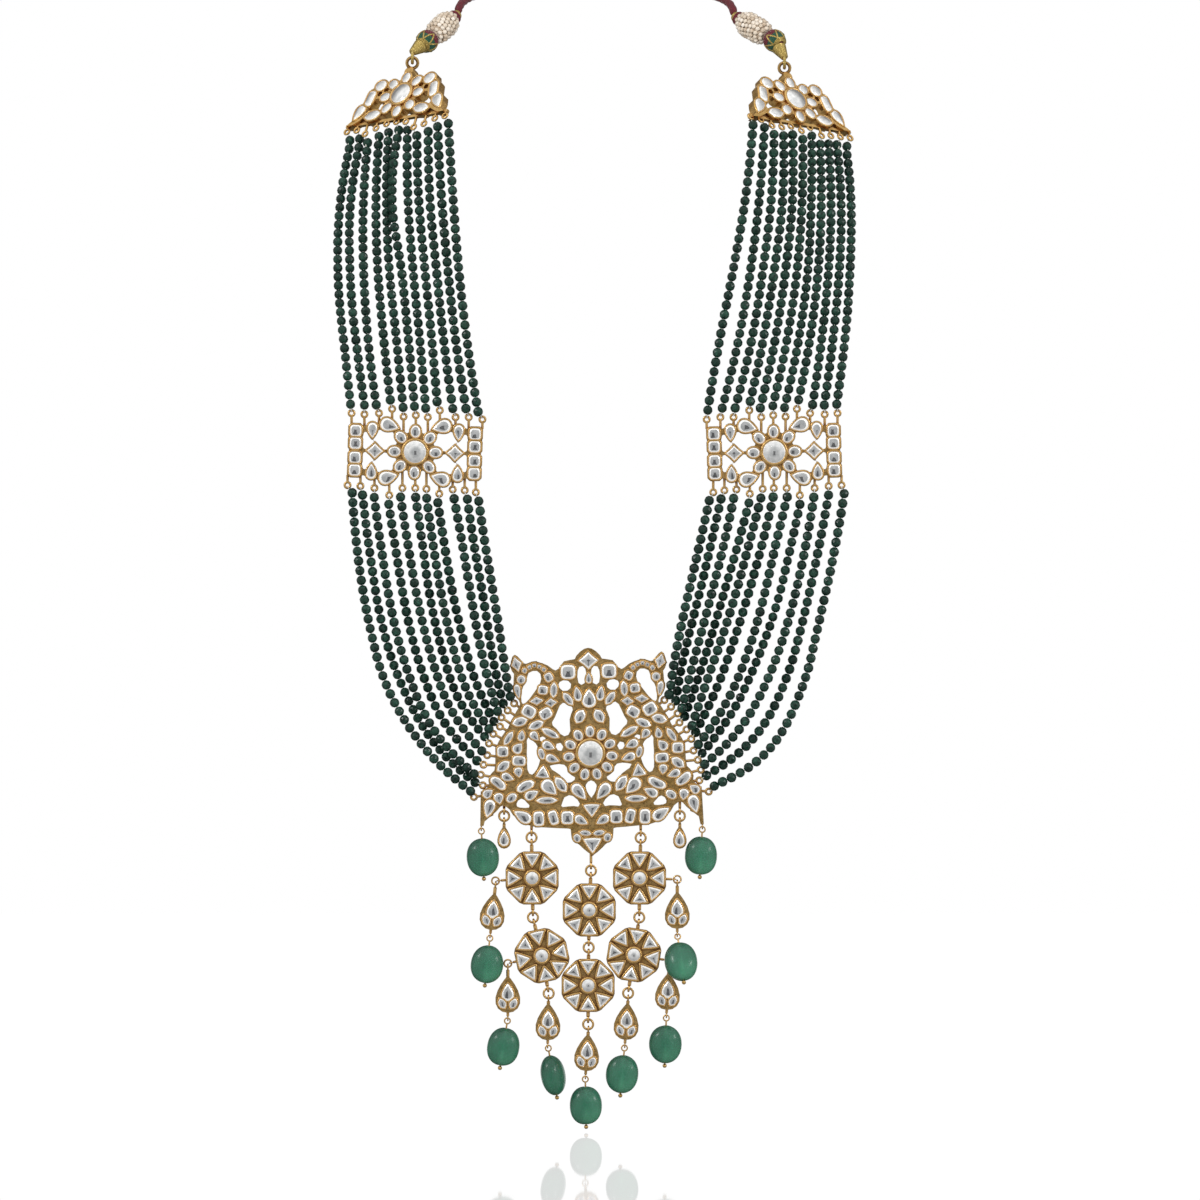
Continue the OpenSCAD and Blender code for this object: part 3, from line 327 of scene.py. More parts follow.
def emerald():
    """Dark green stone, each bead a little lighter or darker by its tint."""
    made, tree, shader = material("emerald_green_stone", (0.010, 0.046, 0.030), 0.22)
    fine = ramp(tree, noise(tree, 900, 4),
                [(0.32, (0.003, 0.011, 0.008)),
                 (0.52, (0.008, 0.032, 0.021)),
                 (0.72, (0.019, 0.069, 0.046))])
    part = mixed(tree, tint_of(tree), (0.50, 0.55, 0.55), (1.35, 1.3, 1.3))
    tree.links.new(mixed(tree, 1.0, fine, part, "MULTIPLY"), shader.inputs["Base Color"])
    shader.inputs["Specular IOR Level"].default_value = 0.3
    bumpy(tree, shader, noise(tree, 1400, 2), 0.15, 0.00008)
    return made


def jade():
    """Translucent green stone. Its tint is painted light: it grows where light would come through the
    stone.
    """
    made, tree, shader = material("green_onyx", (0.045, 0.19, 0.115), 0.24)
    body = ramp(tree, tint_of(tree),
                [(0.0, (0.019, 0.080, 0.050)),
                 (0.5, (0.032, 0.138, 0.084)),
                 (1.0, (0.062, 0.235, 0.140))])
    veins = ramp(tree, noise(tree, 150, 2, (1, 1, 0.25)),
                 [(0.3, (0.88, 0.90, 0.90)), (0.7, (1.1, 1.08, 1.08))])
    tree.links.new(mixed(tree, 1.0, body, veins, "MULTIPLY"), shader.inputs["Base Color"])
    shader.inputs["Subsurface Weight"].default_value = 0.3
    shader.inputs["Subsurface Radius"].default_value = (0.3, 1.0, 0.6)
    shader.inputs["Subsurface Scale"].default_value = 0.002
    shader.inputs["Specular IOR Level"].default_value = 0.4
    return made


def pearl():
    """Cream seed pearls, each with its own tint."""
    made, tree, shader = material("seed_pearl", (0.68, 0.57, 0.47), 0.36)
    part = ramp(tree, tint_of(tree),
                [(0.0, (0.54, 0.43, 0.32)),
                 (0.5, (0.70, 0.60, 0.48)),
                 (1.0, (0.86, 0.78, 0.68))])
    tree.links.new(part, shader.inputs["Base Color"])
    shader.inputs["Coat Weight"].default_value = 0.15
    shader.inputs["Coat Roughness"].default_value = 0.2
    bumpy(tree, shader, noise(tree, 1600, 2), 0.1, 0.0001)
    return made


def thread(name, light, dark, metal=0.0, rough=0.6):
    """Fine thread with a fuzz of two tones."""
    made, tree, shader = material(name, light, rough, metal)
    fuzz = ramp(tree, noise(tree, 2200, 4), [(0.3, dark), (0.7, light)])
    tree.links.new(fuzz, shader.inputs["Base Color"])
    if not metal:
        shader.inputs["Sheen Weight"].default_value = 0.25
        shader.inputs["Sheen Roughness"].default_value = 0.4
    bumpy(tree, shader, noise(tree, 3600, 2), 0.5, 0.0001)
    return made


# The third colour, dark red, is the painted shade in crevices
GOLD = gold_material("worn_gold_with_painted_shade", (0.74, 0.48, 0.19), (0.57, 0.35, 0.11), (0.33, 0.12, 0.04), 0.28)
GLASS = foiled_glass()
EMERALD = emerald()
JADE = jade()
PEARL = pearl()
NYLON = thread("nylon_thread", (0.72, 0.72, 0.66), (0.45, 0.45, 0.40), 0.0, 0.35)
MAROON = thread("maroon_thread", (0.16, 0.012, 0.022), (0.05, 0.004, 0.008))
GREEN = thread("green_thread", (0.02, 0.10, 0.055), (0.006, 0.035, 0.02))
ZARI = thread("gold_thread", (0.62, 0.47, 0.16), (0.34, 0.24, 0.06), 0.75, 0.36)

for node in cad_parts.values():
    node.data.materials.clear()
    node.data.materials.append(GOLD)


# Bead strings
BEAD_PITCH = 3.42
TUBE_SIDES = 8
FACET_SIDES = 9
FACET_ROWS = (66, 36, 12, -12, -36, -66)
THREAD_R = 0.3
LOOP_THREAD_R = 0.17


def node_points(node):
    """A node's points in millimetres above the foot, and its triangles."""
    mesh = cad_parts[node].data
    places = np.empty(len(mesh.vertices) * 3)
    mesh.vertices.foreach_get("co", places)
    places = places.reshape(-1, 3) / MM + NAPE
    mesh.calc_loop_triangles()
    corners = np.empty(len(mesh.loop_triangles) * 3, dtype=int)
    mesh.loop_triangles.foreach_get("vertices", corners)
    points, same = np.unique(np.round(places, 3), axis=0, return_inverse=True)
    return points, same.reshape(-1)[corners].reshape(-1, 3)


def string_lines(node):
    """The middle of each ring of every tube in a node, from its upper end down."""
    points, triangles = node_points(node)
    near = [set() for _ in points]
    for a, b, c in triangles:
        near[a].update((b, c))
        near[b].update((a, c))
        near[c].update((a, b))
    left = set(range(len(points)))
    lines = []
    while left:
        group = {left.pop()}
        edge = set(group)
        while edge:
            edge = {j for i in edge for j in near[i]} - group
            group |= edge
        left -= group
        members = np.array(sorted(group))
        top = members[np.argmax(points[members][:, 2])]
        gaps = np.linalg.norm(points[members] - points[top], axis=1)
        ring = set(members[np.argsort(gaps)[:TUBE_SIDES]].tolist())
        seen = set(ring)
        line = []
        while ring:
            line.append(points[sorted(ring)].mean(axis=0))
            ring = {j for i in ring for j in near[i]} - seen
            seen |= ring
        lines.append(line)
    return sorted(lines, key=lambda line: line[0][0])


def faceted_bead(radius):
    """A bead cut with rows of small facets, its hole along Z."""
    points = []
    for k, angle in enumerate(FACET_ROWS):
        r = radius * math.cos(math.radians(angle)) * 1.025
        z = radius * math.sin(math.radians(angle)) * 1.03
        for j in range(FACET_SIDES):
            a = 2 * math.pi * (j + 0.5 * (k % 2)) / FACET_SIDES
            points.append((r * math.cos(a), r * math.sin(a), z))
    faces = []
    n = FACET_SIDES
    for k in range(len(FACET_ROWS) - 1):
        for j in range(n):
            a = k * n + j
            b = k * n + (j + 1) % n
            c = (k + 1) * n + j
            d = (k + 1) * n + (j + 1) % n
            if k % 2 == 0:
                faces += [(a, c, b), (b, c, d)]
            else:
                faces += [(a, d, b), (a, c, d)]
    points += [(0, 0, radius * 0.82), (0, 0, -radius * 0.82)]
    low = (len(FACET_ROWS) - 1) * n
    for j in range(n):
        faces.append((j, (j + 1) % n, len(points) - 2))
        faces.append((low + (j + 1) % n, low + j, len(points) - 1))
    return np.array(points), faces


def thread_turn(shape, along, end):
    """Turn of thread through the gold loop that holds a string's end."""
    wire = end + 0.62 * along
    back = unit(BACK - along * along[1])
    turn = []
    for i in range(14):
        a = 2 * math.pi * i / 14
        turn.append(wire + (0.8 * math.cos(a) - 0.18) * along + 0.72 * math.sin(a) * back)
    tube(shape, turn, LOOP_THREAD_R, sides=6, closed=True, slot=1)


def bead_strings(node, name):
    """Faceted beads on thread along each tube of a node."""
    shape = Shape()
    for line in string_lines(node):
        body, _ = smooth_line(line[1:-1])
        curve = np.vstack([line[0], body, line[-1]])
        steps = np.linalg.norm(np.diff(curve, axis=0), axis=1)
        lengths = np.concatenate([[0], np.cumsum(steps)])
        first = 0.48 * BEAD_PITCH + 0.05
        reach = lengths[-1] - 2 * first
        count = max(2, round(reach / BEAD_PITCH) + 1)
        gap = reach / (count - 1)
        for i in range(count):
            s = first + i * gap
            middle = at_length(curve, lengths, s)
            along = at_length(curve, lengths, s + 0.8) - at_length(curve, lengths, s - 0.8)
            side, other, axis = frame_along(along)
            spin = chance.uniform(0, 6.28)
            one = math.cos(spin) * side + math.sin(spin) * other
            two = np.cross(axis, one)
            points, faces = faceted_bead(gap / 2 * chance.uniform(0.97, 1.02))
            places = middle + points @ np.array([one, two, axis])
            shape.add(places, faces, False, 0, chance.uniform(0, 1))
        thread_turn(shape, unit(curve[0] - at_length(curve, lengths, first)), curve[0])
        thread_turn(shape, unit(curve[-1] - at_length(curve, lengths, lengths[-1] - first)), curve[-1])
        tube(shape, curve[::6], THREAD_R, sides=6, slot=1)
    shape.piece(name, [EMERALD, NYLON], "emerald_beads", [node])


for part in ("left_upper", "right_upper", "left_lower", "right_lower"):
    bead_strings(part + "_strings", part + "_beads")


# Stone outlines, tip towards +X
SHARP_TURN = 52
DROP_TIP = math.radians(36)
ROUND_POINTS = 24
STONE_ROOM = 0.1


def rounded_loop(corners, steps):
    """A smooth closed outline through corners, which stays sharp where it turns much."""
    p = [np.array(c, float) for c in corners]
    n = len(p)
    is_sharp = []
    for i in range(n):
        a = p[i] - p[i - 1]
        b = p[(i + 1) % n] - p[i]
        turn = abs(math.degrees(math.atan2(a[0] * b[1] - a[1] * b[0], a @ b)))
        is_sharp.append(turn > SHARP_TURN)
    loop = []
    for i in range(n):
        k = (i + 1) % n
        chord = p[k] - p[i]
        start = chord if is_sharp[i] else (p[k] - p[i - 1]) / 2
        end = chord if is_sharp[k] else (p[(k + 1) % n] - p[i]) / 2
        for j in range(steps):
            t = j / steps
            loop.append((2 * t ** 3 - 3 * t * t + 1) * p[i] + (t ** 3 - 2 * t * t + t) * start
                        + (3 * t * t - 2 * t ** 3) * p[k] + (t ** 3 - t * t) * end)
    return np.array(loop)


def stone_outline(length, width, kind):
    """The outline of a stone: oval, drop, quad, leaf, tri, kite or moon."""
    turns = [2 * math.pi * i / ROUND_POINTS for i in range(ROUND_POINTS)]
    if kind == "oval":
        return np.array([(length / 2 * math.cos(a), width / 2 * math.sin(a)) for a in turns])
    if kind == "drop":
        loop = []
        for a in turns:
            near_tip = min(a, 2 * math.pi - a) / DROP_TIP
            b = a if near_tip > 1 else math.copysign(DROP_TIP, math.pi - a)
            x, y = length / 2 * math.cos(b), 0.65 * width * math.sin(b) * abs(math.sin(b / 2))
            share = min(1.0, near_tip)
            loop.append((length / 2 + (x - length / 2) * share, y * share))
        return np.array(loop)
    if kind == "quad":
        loop = []
        for a in turns:
            c, s = math.cos(a), math.sin(a)
            r = (abs(c) ** 4 + abs(s) ** 4) ** -0.25
            loop.append((length / 2 * r * c, width / 2 * r * s))
        return np.array(loop)
    h, w = length / 2, width / 2
    if kind == "leaf":
        corners = [(h, 0), (0.45 * h, 0.8 * w), (-0.45 * h, 0.8 * w), (-h, 0),
                   (-0.45 * h, -0.8 * w), (0.45 * h, -0.8 * w)]
    elif kind == "tri":
        corners = [(h, 0), (-0.08 * h, 0.58 * w), (-h, w), (-1.1 * h, 0),
                   (-h, -w), (-0.08 * h, -0.58 * w)]
    elif kind == "kite":
        corners = [(h, 0), (0.48 * h, 0.46 * w), (0, w), (-0.48 * h, 0.46 * w),
                   (-h, 0), (-0.48 * h, -0.46 * w), (0, -w), (0.48 * h, -0.46 * w)]
    else:
        corners = [(h, -0.2 * w), (0.8 * h, 0.56 * w), (0, w), (-0.8 * h, 0.56 * w),
                   (-h, -0.2 * w), (-0.72 * h, -0.8 * w), (0, -0.92 * w), (0.72 * h, -0.8 * w)]
    return rounded_loop(corners, 3 if len(corners) == 8 else 4)


def placed(row):
    """A stone's outline where it stands on its plate. Row: across, up, length, width, tip, outline."""
    loop = stone_outline(row[2], row[3], row[5])
    a = math.radians(row[4])
    spin = np.array([[math.cos(a), math.sin(a)], [-math.sin(a), math.cos(a)]])
    return loop @ spin + np.array([row[0], row[1]])


def outward(loop):
    """Outward step of each point of a loop that runs anticlockwise."""
    ahead = np.roll(loop, -1, axis=0) - loop
    ahead /= np.maximum(np.linalg.norm(ahead, axis=1), 1e-9)[:, None]
    normal = np.stack([ahead[:, 1], -ahead[:, 0]], axis=1)
    both = normal + np.roll(normal, 1, axis=0)
    size = np.maximum(np.linalg.norm(both, axis=1), 1e-6)
    return both / size[:, None] * np.minimum(2 / size, 1.3)[:, None]


# Work on plates

class Plate:
    """A gold plate's front, which turns (across, up, height above it) into a place."""

    def __init__(self, matrix, front=PLATE_FRONT):
        self.matrix = matrix
        self.front = front

    def at(self, flat, height):
        flat = np.atleast_2d(flat)
        height = np.broadcast_to(height, len(flat))
        local = np.stack([flat[:, 0], self.front - height, flat[:, 1], np.ones(len(flat))], axis=1)
        return (local @ np.array(self.matrix).T)[:, :3]


# A rim's section, as rows of outward and up
RIM = ((-0.13, -0.20), (-0.11, 0.13), (-0.02, 0.29), (0.14, 0.37), (0.34, 0.36), (0.52, 0.24),
       (0.63, 0.02), (0.66, -0.25))
# A table's rings, as shares of its outline, and a dome's, as shares of its foot
TABLE_RINGS = (1, 0.86, 0.7, 0.52, 0.34, 0.16)
DOME_RINGS = (0.9, 0.78, 0.64, 0.5, 0.36, 0.22, 0.08)
DOME_SIDES = 40


def gold_rim(shape, plate, loop, lift, wide, tall):
    """A rounded rim pushed up round a stone."""
    out = outward(loop)
    points = []
    for across, height in RIM:
        points.extend(plate.at(loop + out * across * wide, lift + height * tall))
    n = len(loop)
    faces = [f[::-1] for f in band_faces(len(RIM), n)]
    shape.add(points, faces)


def cut_stone(shape, plate, loop, lift, table=0.72, rise=0.40):
    """A bevel round a table that is ground a little round and sits a little askew."""
    middle = loop.mean(axis=0)
    size = math.sqrt(max(np.ptp(loop[:, 0]), 0.1) * max(np.ptp(loop[:, 1]), 0.1)) / 2
    lean = np.array([chance.uniform(-0.045, 0.045), chance.uniform(-0.035, 0.035)])
    dome = 0.058 * size
    n = len(loop)

    def ring(scale):
        flat = middle + scale * (loop - middle)
        height = lift + rise + dome * (1 - (scale / table) ** 2) + (flat - middle) @ lean
        return plate.at(flat, height)

    low = plate.at(loop + outward(loop) * 0.05, lift)
    # The bevel's tint of 1 paints it near-white and matt, a painted reflection
    shape.add(list(low) + list(ring(table)), band_faces(2, n), False, tint=1.0)
    points = []
    for share in TABLE_RINGS:
        points.extend(ring(table * share))
    faces = band_faces(len(TABLE_RINGS), n) + [end_face(len(TABLE_RINGS) - 1, n)]
    shape.add(points, faces, tint=0.0)


def round_stone(shape, plate, across, lift, rise):
    """A domed glass in the middle of a plate, with a narrow bevel at its foot."""
    n = DOME_SIDES
    turn = np.array([(math.cos(2 * math.pi * i / n), math.sin(2 * math.pi * i / n)) for i in range(n)])
    r = across / 2
    foot_rise = 0.32 * rise
    lean = np.array([chance.uniform(-0.02, 0.02), chance.uniform(-0.02, 0.02)])

    def ring(scale, height):
        flat = turn * r * scale
        return plate.at(flat, height + flat @ lean)

    low = list(ring(1.02, lift)) + list(ring(DOME_RINGS[0], lift + foot_rise))
    # The foot bevel's tint of 0.8 paints it nearly white and matt, a painted reflection
    shape.add(low, band_faces(2, n), tint=0.8)
    points = []
    for scale in DOME_RINGS:
        round_share = 1 - (scale / DOME_RINGS[0]) ** 2
        points.extend(ring(scale, lift + foot_rise + (rise - foot_rise) * round_share))
    faces = band_faces(len(DOME_RINGS), n) + [end_face(len(DOME_RINGS) - 1, n)]
    shape.add(points, faces, tint=0.06)


def circle_loop(across, n=40):
    """A round outline."""
    return np.array([(across / 2 * math.cos(2 * math.pi * i / n),
                      across / 2 * math.sin(2 * math.pi * i / n)) for i in range(n)])


def turn_about(axis, degrees):
    return Matrix.Rotation(math.radians(degrees), 4, axis)


def hung_plate(x, z, lean, front=PLATE_FRONT):
    """A plate that faces the viewer and leans sideways by some degrees."""
    return Plate(Matrix.Translation((x, 0, z)) @ turn_about("Y", -lean), front)


# Stones. Rows: across, up, length, width, angle of the tip, outline

def ring_rows(count, orbit, length, width):
    """Oval stones set round a middle, the first one above it."""
    rows = []
    for i in range(count):
        a = 90 + 360 * i / count
        rows.append((orbit * math.cos(math.radians(a)), orbit * math.sin(math.radians(a)),
                     length, width, a, "oval"))
    return rows


def mirrored(row):
    """The same stone on the other half of its plate."""
    return (-row[0], row[1], row[2], row[3], 180 - row[4], row[5])


def set_stones(rims, stones, plate, rows, wide=0.85, tall=1.0, grow=0.16):
    """Cut stones in their rims, grown as far as their neighbours leave room."""
    loops = [placed(row) for row in rows]
    for k, loop in enumerate(loops):
        others = loops[:k] + loops[k + 1:]
        gaps = [np.linalg.norm(loop[:, None] - other[None], axis=2).min() for other in others]
        steps = [max(gap / 2 - STONE_ROOM, -STONE_ROOM) for gap in gaps]
        loop = loop + outward(loop) * min([grow] + steps)
        gold_rim(rims, plate, loop, 0.0, wide, tall)
        cut_stone(stones, plate, loop, -0.02)


# Pendant. Its stones' rows are in drawing units, with the left half's places as it leans
PENDANT_UP = 131.9
PENDANT_WIDTH = 82
PENDANT_LEAN = 1.3
PENDANT_GLASS = 8.9
UNIT = PENDANT_WIDTH / 1836
HALF_STONES = [
    (-579, 697, 105, 70, 105, "kite"),
    (-542, 577, 56, 56, 0, "oval"),
    (-516, 647, 38, 34, 60, "quad"),
    (-477, 673, 38, 34, 30, "quad"),
    (-440, 687, 38, 34, 5, "quad"),
    (-400, 677, 38, 34, -20, "quad"),
    (-365, 655, 38, 34, -40, "quad"),
    (-327, 595, 58, 52, -62, "quad"),
    (-570, 485, 100, 38, -80, "drop"),
    (-372, 495, 66, 60, -8, "quad"),
    (-422, 410, 96, 54, 4, "kite"),
    (-482, 327, 98, 84, -30, "quad"),
    (-552, 247, 115, 66, 14, "leaf"),
    (-287, 495, 112, 50, 86, "leaf"),
    (-309, 395, 84, 58, 4, "kite"),
    (-350, 310, 88, 74, 30, "quad"),
    (-425, 220, 120, 60, 22, "leaf"),
    (-437, 133, 74, 52, -48, "drop"),
    (-314, 157, 145, 50, -28, "leaf"),
    (-642, 117, 125, 50, 56, "leaf"),
    (-687, 13, 84, 78, 0, "quad"),
    (-682, -103, 112, 68, 36, "leaf"),
    (-722, -233, 140, 72, -38, "moon"),
    (-540, 137, 72, 46, 80, "drop"),
    (-567, 40, 82, 66, 50, "drop"),
    (-559, -60, 94, 66, -4, "quad"),
    (-564, -150, 66, 56, -82, "drop"),
    (-647, -190, 102, 62, -20, "drop"),
    (-328, 57, 94, 58, -24, "drop"),
    (-383, -5, 84, 44, -75, "oval"),
    (-298, -45, 106, 60, -20, "drop"),
    (-372, -143, 84, 98, 84, "tri"),
    (-320, -271, 140, 94, -46, "drop"),
    (-232, -245, 135, 74, -54, "leaf"),
    (-510, -257, 140, 64, 26, "moon"),
    (-460, -325, 105, 62, 26, "drop"),
    (-342, -370, 160, 46, 0, "leaf"),
    (-87, -303, 140, 78, -50, "drop"),
    (-802, -315, 76, 58, 35, "drop"),
    (-717, -355, 76, 64, -80, "drop"),
    (-617, -350, 80, 54, 33, "oval"),
    (-794, -433, 130, 76, -105, "drop"),
    (-532, -495, 140, 76, 148, "drop"),
    (-405, -513, 104, 74, 92, "quad"),
    (-290, -505, 102, 62, 106, "quad"),
    (-180, -505, 96, 90, 90, "quad"),
    (-72, -527, 106, 62, -30, "drop"),
    (-175, 637, 104, 100, 0, "quad"),
    (-101, 465, 105, 54, 100, "drop"),
    (-175, 425, 112, 50, -53, "leaf"),
    (-82, 288, 108, 76, 60, "leaf"),
    (-39, -626, 104, 50, 172, "leaf"),
    (-104, -664, 58, 50, 110, "oval"),
]
MIDDLE_STONES = [
    (0, 727, 122, 142, 90, "kite"),
    (0, 588, 68, 34, 90, "drop"),
    (0, 430, 136, 100, 90, "drop"),
    (0, -450, 84, 118, -90, "tri"),
    (0, -726, 104, 132, -90, "tri"),
]


def pendant_rows():
    """All stones in millimetres: the left half and its mirror image, the middle and the flower."""
    lean = math.radians(-PENDANT_LEAN)
    rows = []
    for row in HALF_STONES:
        x = row[0] * math.cos(lean) - row[1] * math.sin(lean)
        z = row[0] * math.sin(lean) + row[1] * math.cos(lean)
        straight = (x, z) + row[2:]
        rows += [straight, mirrored(straight)]
    rows += MIDDLE_STONES + ring_rows(11, 170, 78, 58)
    return [(r[0] * UNIT, r[1] * UNIT, r[2] * UNIT, r[3] * UNIT, r[4], r[5]) for r in rows]


pendant = hung_plate(0, PENDANT_UP, PENDANT_LEAN)
rims = Shape()
stones = Shape()
set_stones(rims, stones, pendant, pendant_rows(), wide=0.75, grow=0.3)
gold_rim(rims, pendant, circle_loop(PENDANT_GLASS), lift=0.8, wide=1.25, tall=1.1)
rims.piece("pendant_rims", [GOLD], "gold")
stones.piece("pendant_cut_stones", [GLASS], "clear_stone", ["pendant_stones"])
stones = Shape()
round_stone(stones, pendant, PENDANT_GLASS, lift=0.8, rise=1.15)
stones.piece("pendant_round_glass", [GLASS], "clear_stone", ["pendant_centre_stone"])

# Spacers and caps. Spacers: across, up. Caps: across, back, up. Cap turn: about X, Y and Z
SPACER_QUARTER = [
    (9.1, 9.1, 6.4, 4.3, 196, "drop"),
    (15.1, 7.2, 5.2, 3.2, -90, "drop"),
    (20.9, 6.9, 4, 4, 0, "quad"),
    (20.9, 2.5, 4, 4, 0, "quad"),
]
SPACER_DIAMOND = (14, 0, 5.6, 5.2, 0, "kite")
CAP_HALF = [
    (10.6, 5.4, 4.6, 4.2, 0, "oval"),
    (13.8, 0.4, 3.4, 6.4, 10, "quad"),
    (17.2, -5.3, 6.6, 4, -62, "drop"),
    (10.6, -7.3, 6.8, 4, -8, "leaf"),
]
FLOWER = ring_rows(8, 7.15, 4.2, 3.3)
PLATE_GLASS = 8.1
SPACERS = {"left": (-61.4, 237.3), "right": (64.3, 237.3)}
SPACER_LEAN = 1.7
CAPS = {"left": (-65.8, 30, 362.7), "right": (71.4, 30, 360.9)}
CAP_TURN = (-32.9, -6.5, -35.5)


def spacer_rows():
    """A quarter of the spacer's stones set four times, two diamonds and the flower."""
    rows = []
    for r in SPACER_QUARTER:
        for sx in (-1, 1):
            for sz in (-1, 1):
                tip = sz * r[4] if sx > 0 else 180 - sz * r[4]
                rows.append((sx * r[0], sz * r[1], r[2], r[3], tip, r[5]))
    return rows + [SPACER_DIAMOND, mirrored(SPACER_DIAMOND)] + FLOWER


def cap_rows():
    """Half of a cap's stones set twice, and the flower."""
    return CAP_HALF + [mirrored(r) for r in CAP_HALF] + FLOWER


def flower_plate(plate, rows, name):
    """Rims and stones of a plate with a flower round a large glass."""
    rims = Shape()
    stones = Shape()
    set_stones(rims, stones, plate, rows)
    gold_rim(rims, plate, circle_loop(PLATE_GLASS), lift=0.6, wide=1.25, tall=1.1)
    round_stone(stones, plate, PLATE_GLASS, lift=0.6, rise=1.15)
    rims.piece(name + "_rims", [GOLD], "gold")
    stones.piece(name + "_cut_stones", [GLASS], "clear_stone", [name + "_stones"])


for side, sign in (("left", -1), ("right", 1)):
    flower_plate(hung_plate(*SPACERS[side], sign * SPACER_LEAN), spacer_rows(), side + "_spacer")
    stand = (Matrix.Translation(CAPS[side]) @ turn_about("Z", -sign * CAP_TURN[2])
             @ turn_about("Y", -sign * CAP_TURN[1]) @ turn_about("X", CAP_TURN[0]))
    flower_plate(Plate(stand), cap_rows(), side + "_cap")

# Fringe. Medallions: across, up, turn. Teardrops: top across, top up, lean
MEDALLIONS = [(-20.4, 88.2, 0), (17.2, 88.2, 0), (-0.4, 77.0, 0), (-17.0, 61.0, 12), (15.2, 61.3, -9),
              (-0.8, 50.6, 0)]
TEARDROPS = [(-33.5, 83.1, -6), (30.4, 83.6, 0), (-28.9, 54.2, 0), (27.4, 55.2, -3),
             (-14.7, 44.6, -1), (13.1, 44.7, -4), (-0.8, 33.8, -3.5)]
TEARDROP_ROWS = [(0, -5.9, 6.4, 4.4, 90, "drop"), (-1.95, -9.9, 4.2, 3, 118, "leaf"),
                 (1.95, -9.9, 4.2, 3, 62, "leaf")]
SMALL_DROPS = [(-30.2, 109.9), (31.3, 109.9)]
SMALL_ROW = (0, -4.6, 5.2, 3.2, 90, "drop")
LINK_R = 1.75
SMALL_NECK = 1.5
MEDALLION_GLASS = 4.6
TRIANGLE_ORBIT = 6.2
TRIANGLE_SIZE = (4.6, 5.4)

rims = Shape()
stones = Shape()
for x, z, turn in MEDALLIONS:
    plate = hung_plate(x, z, turn)
    for angle in range(0, 360, 45):
        across = TRIANGLE_ORBIT * math.cos(math.radians(angle))
        up = TRIANGLE_ORBIT * math.sin(math.radians(angle))
        loop = placed((across, up, *TRIANGLE_SIZE, angle + 180, "tri"))
        gold_rim(rims, plate, loop, lift=0.34, wide=0.85, tall=0.8)
        cut_stone(stones, plate, loop, lift=0.22, table=0.66, rise=0.42)
    gold_rim(rims, plate, circle_loop(MEDALLION_GLASS, 28), lift=0.66, wide=0.95, tall=0.9)
    round_stone(stones, plate, MEDALLION_GLASS, lift=0.62, rise=0.85)
rims.piece("medallion_rims", [GOLD], "gold")
stones.piece("medallion_cut_stones", [GLASS], "clear_stone", ["medallion_stones"])

rims = Shape()
stones = Shape()
for x, z, lean in TEARDROPS:
    plate = hung_plate(x, z, lean, TEARDROP_FRONT)
    set_stones(rims, stones, plate, TEARDROP_ROWS, wide=0.7, tall=0.8)
rims.piece("teardrop_rims", [GOLD], "gold")
stones.piece("teardrop_cut_stones", [GLASS], "clear_stone", ["teardrop_stones"])

rims = Shape()
stones = Shape()
for x, z in SMALL_DROPS:
    plate = hung_plate(x, z - LINK_R - SMALL_NECK, 0)
    set_stones(rims, stones, plate, [SMALL_ROW], wide=0.8, tall=0.9)
rims.piece("small_drop_rims", [GOLD], "gold")
stones.piece("small_drop_cut_stones", [GLASS], "clear_stone")

# Green beads: pin eye across, up, lean, forward swing, turn, size factor
BEADS = [
    (-38.2, 104.6, 3, 0, 0, 1), (39.2, 105.2, -3, 0, 0, 1), (-35.1, 67.1, -6, 7, 0, 1),
    (30.4, 67.6, 7, 26, 0, 1.08), (-28.9, 38.2, -9, 0, 0, 1), (26.6, 39.2, -2, 0, 0, 1),
    (-14.9, 28.6, 10, 0, 75, 1.06), (12.0, 28.7, -5, 0, 0, 1), (-1.8, 17.8, 1, 0, 0, 1),
]
BEAD_SIZE = (11.6, 8.4, 13.5)
BEAD_SIDES = 48
BEAD_RINGS = 34
PIN_EYE_R = 1
PIN_WIRE = 0.5
PIN_NECK = 1.2


def squarish(value, power):
    """A sine or cosine that makes a round section a little squarer."""
    return math.copysign(abs(value) ** power, value)


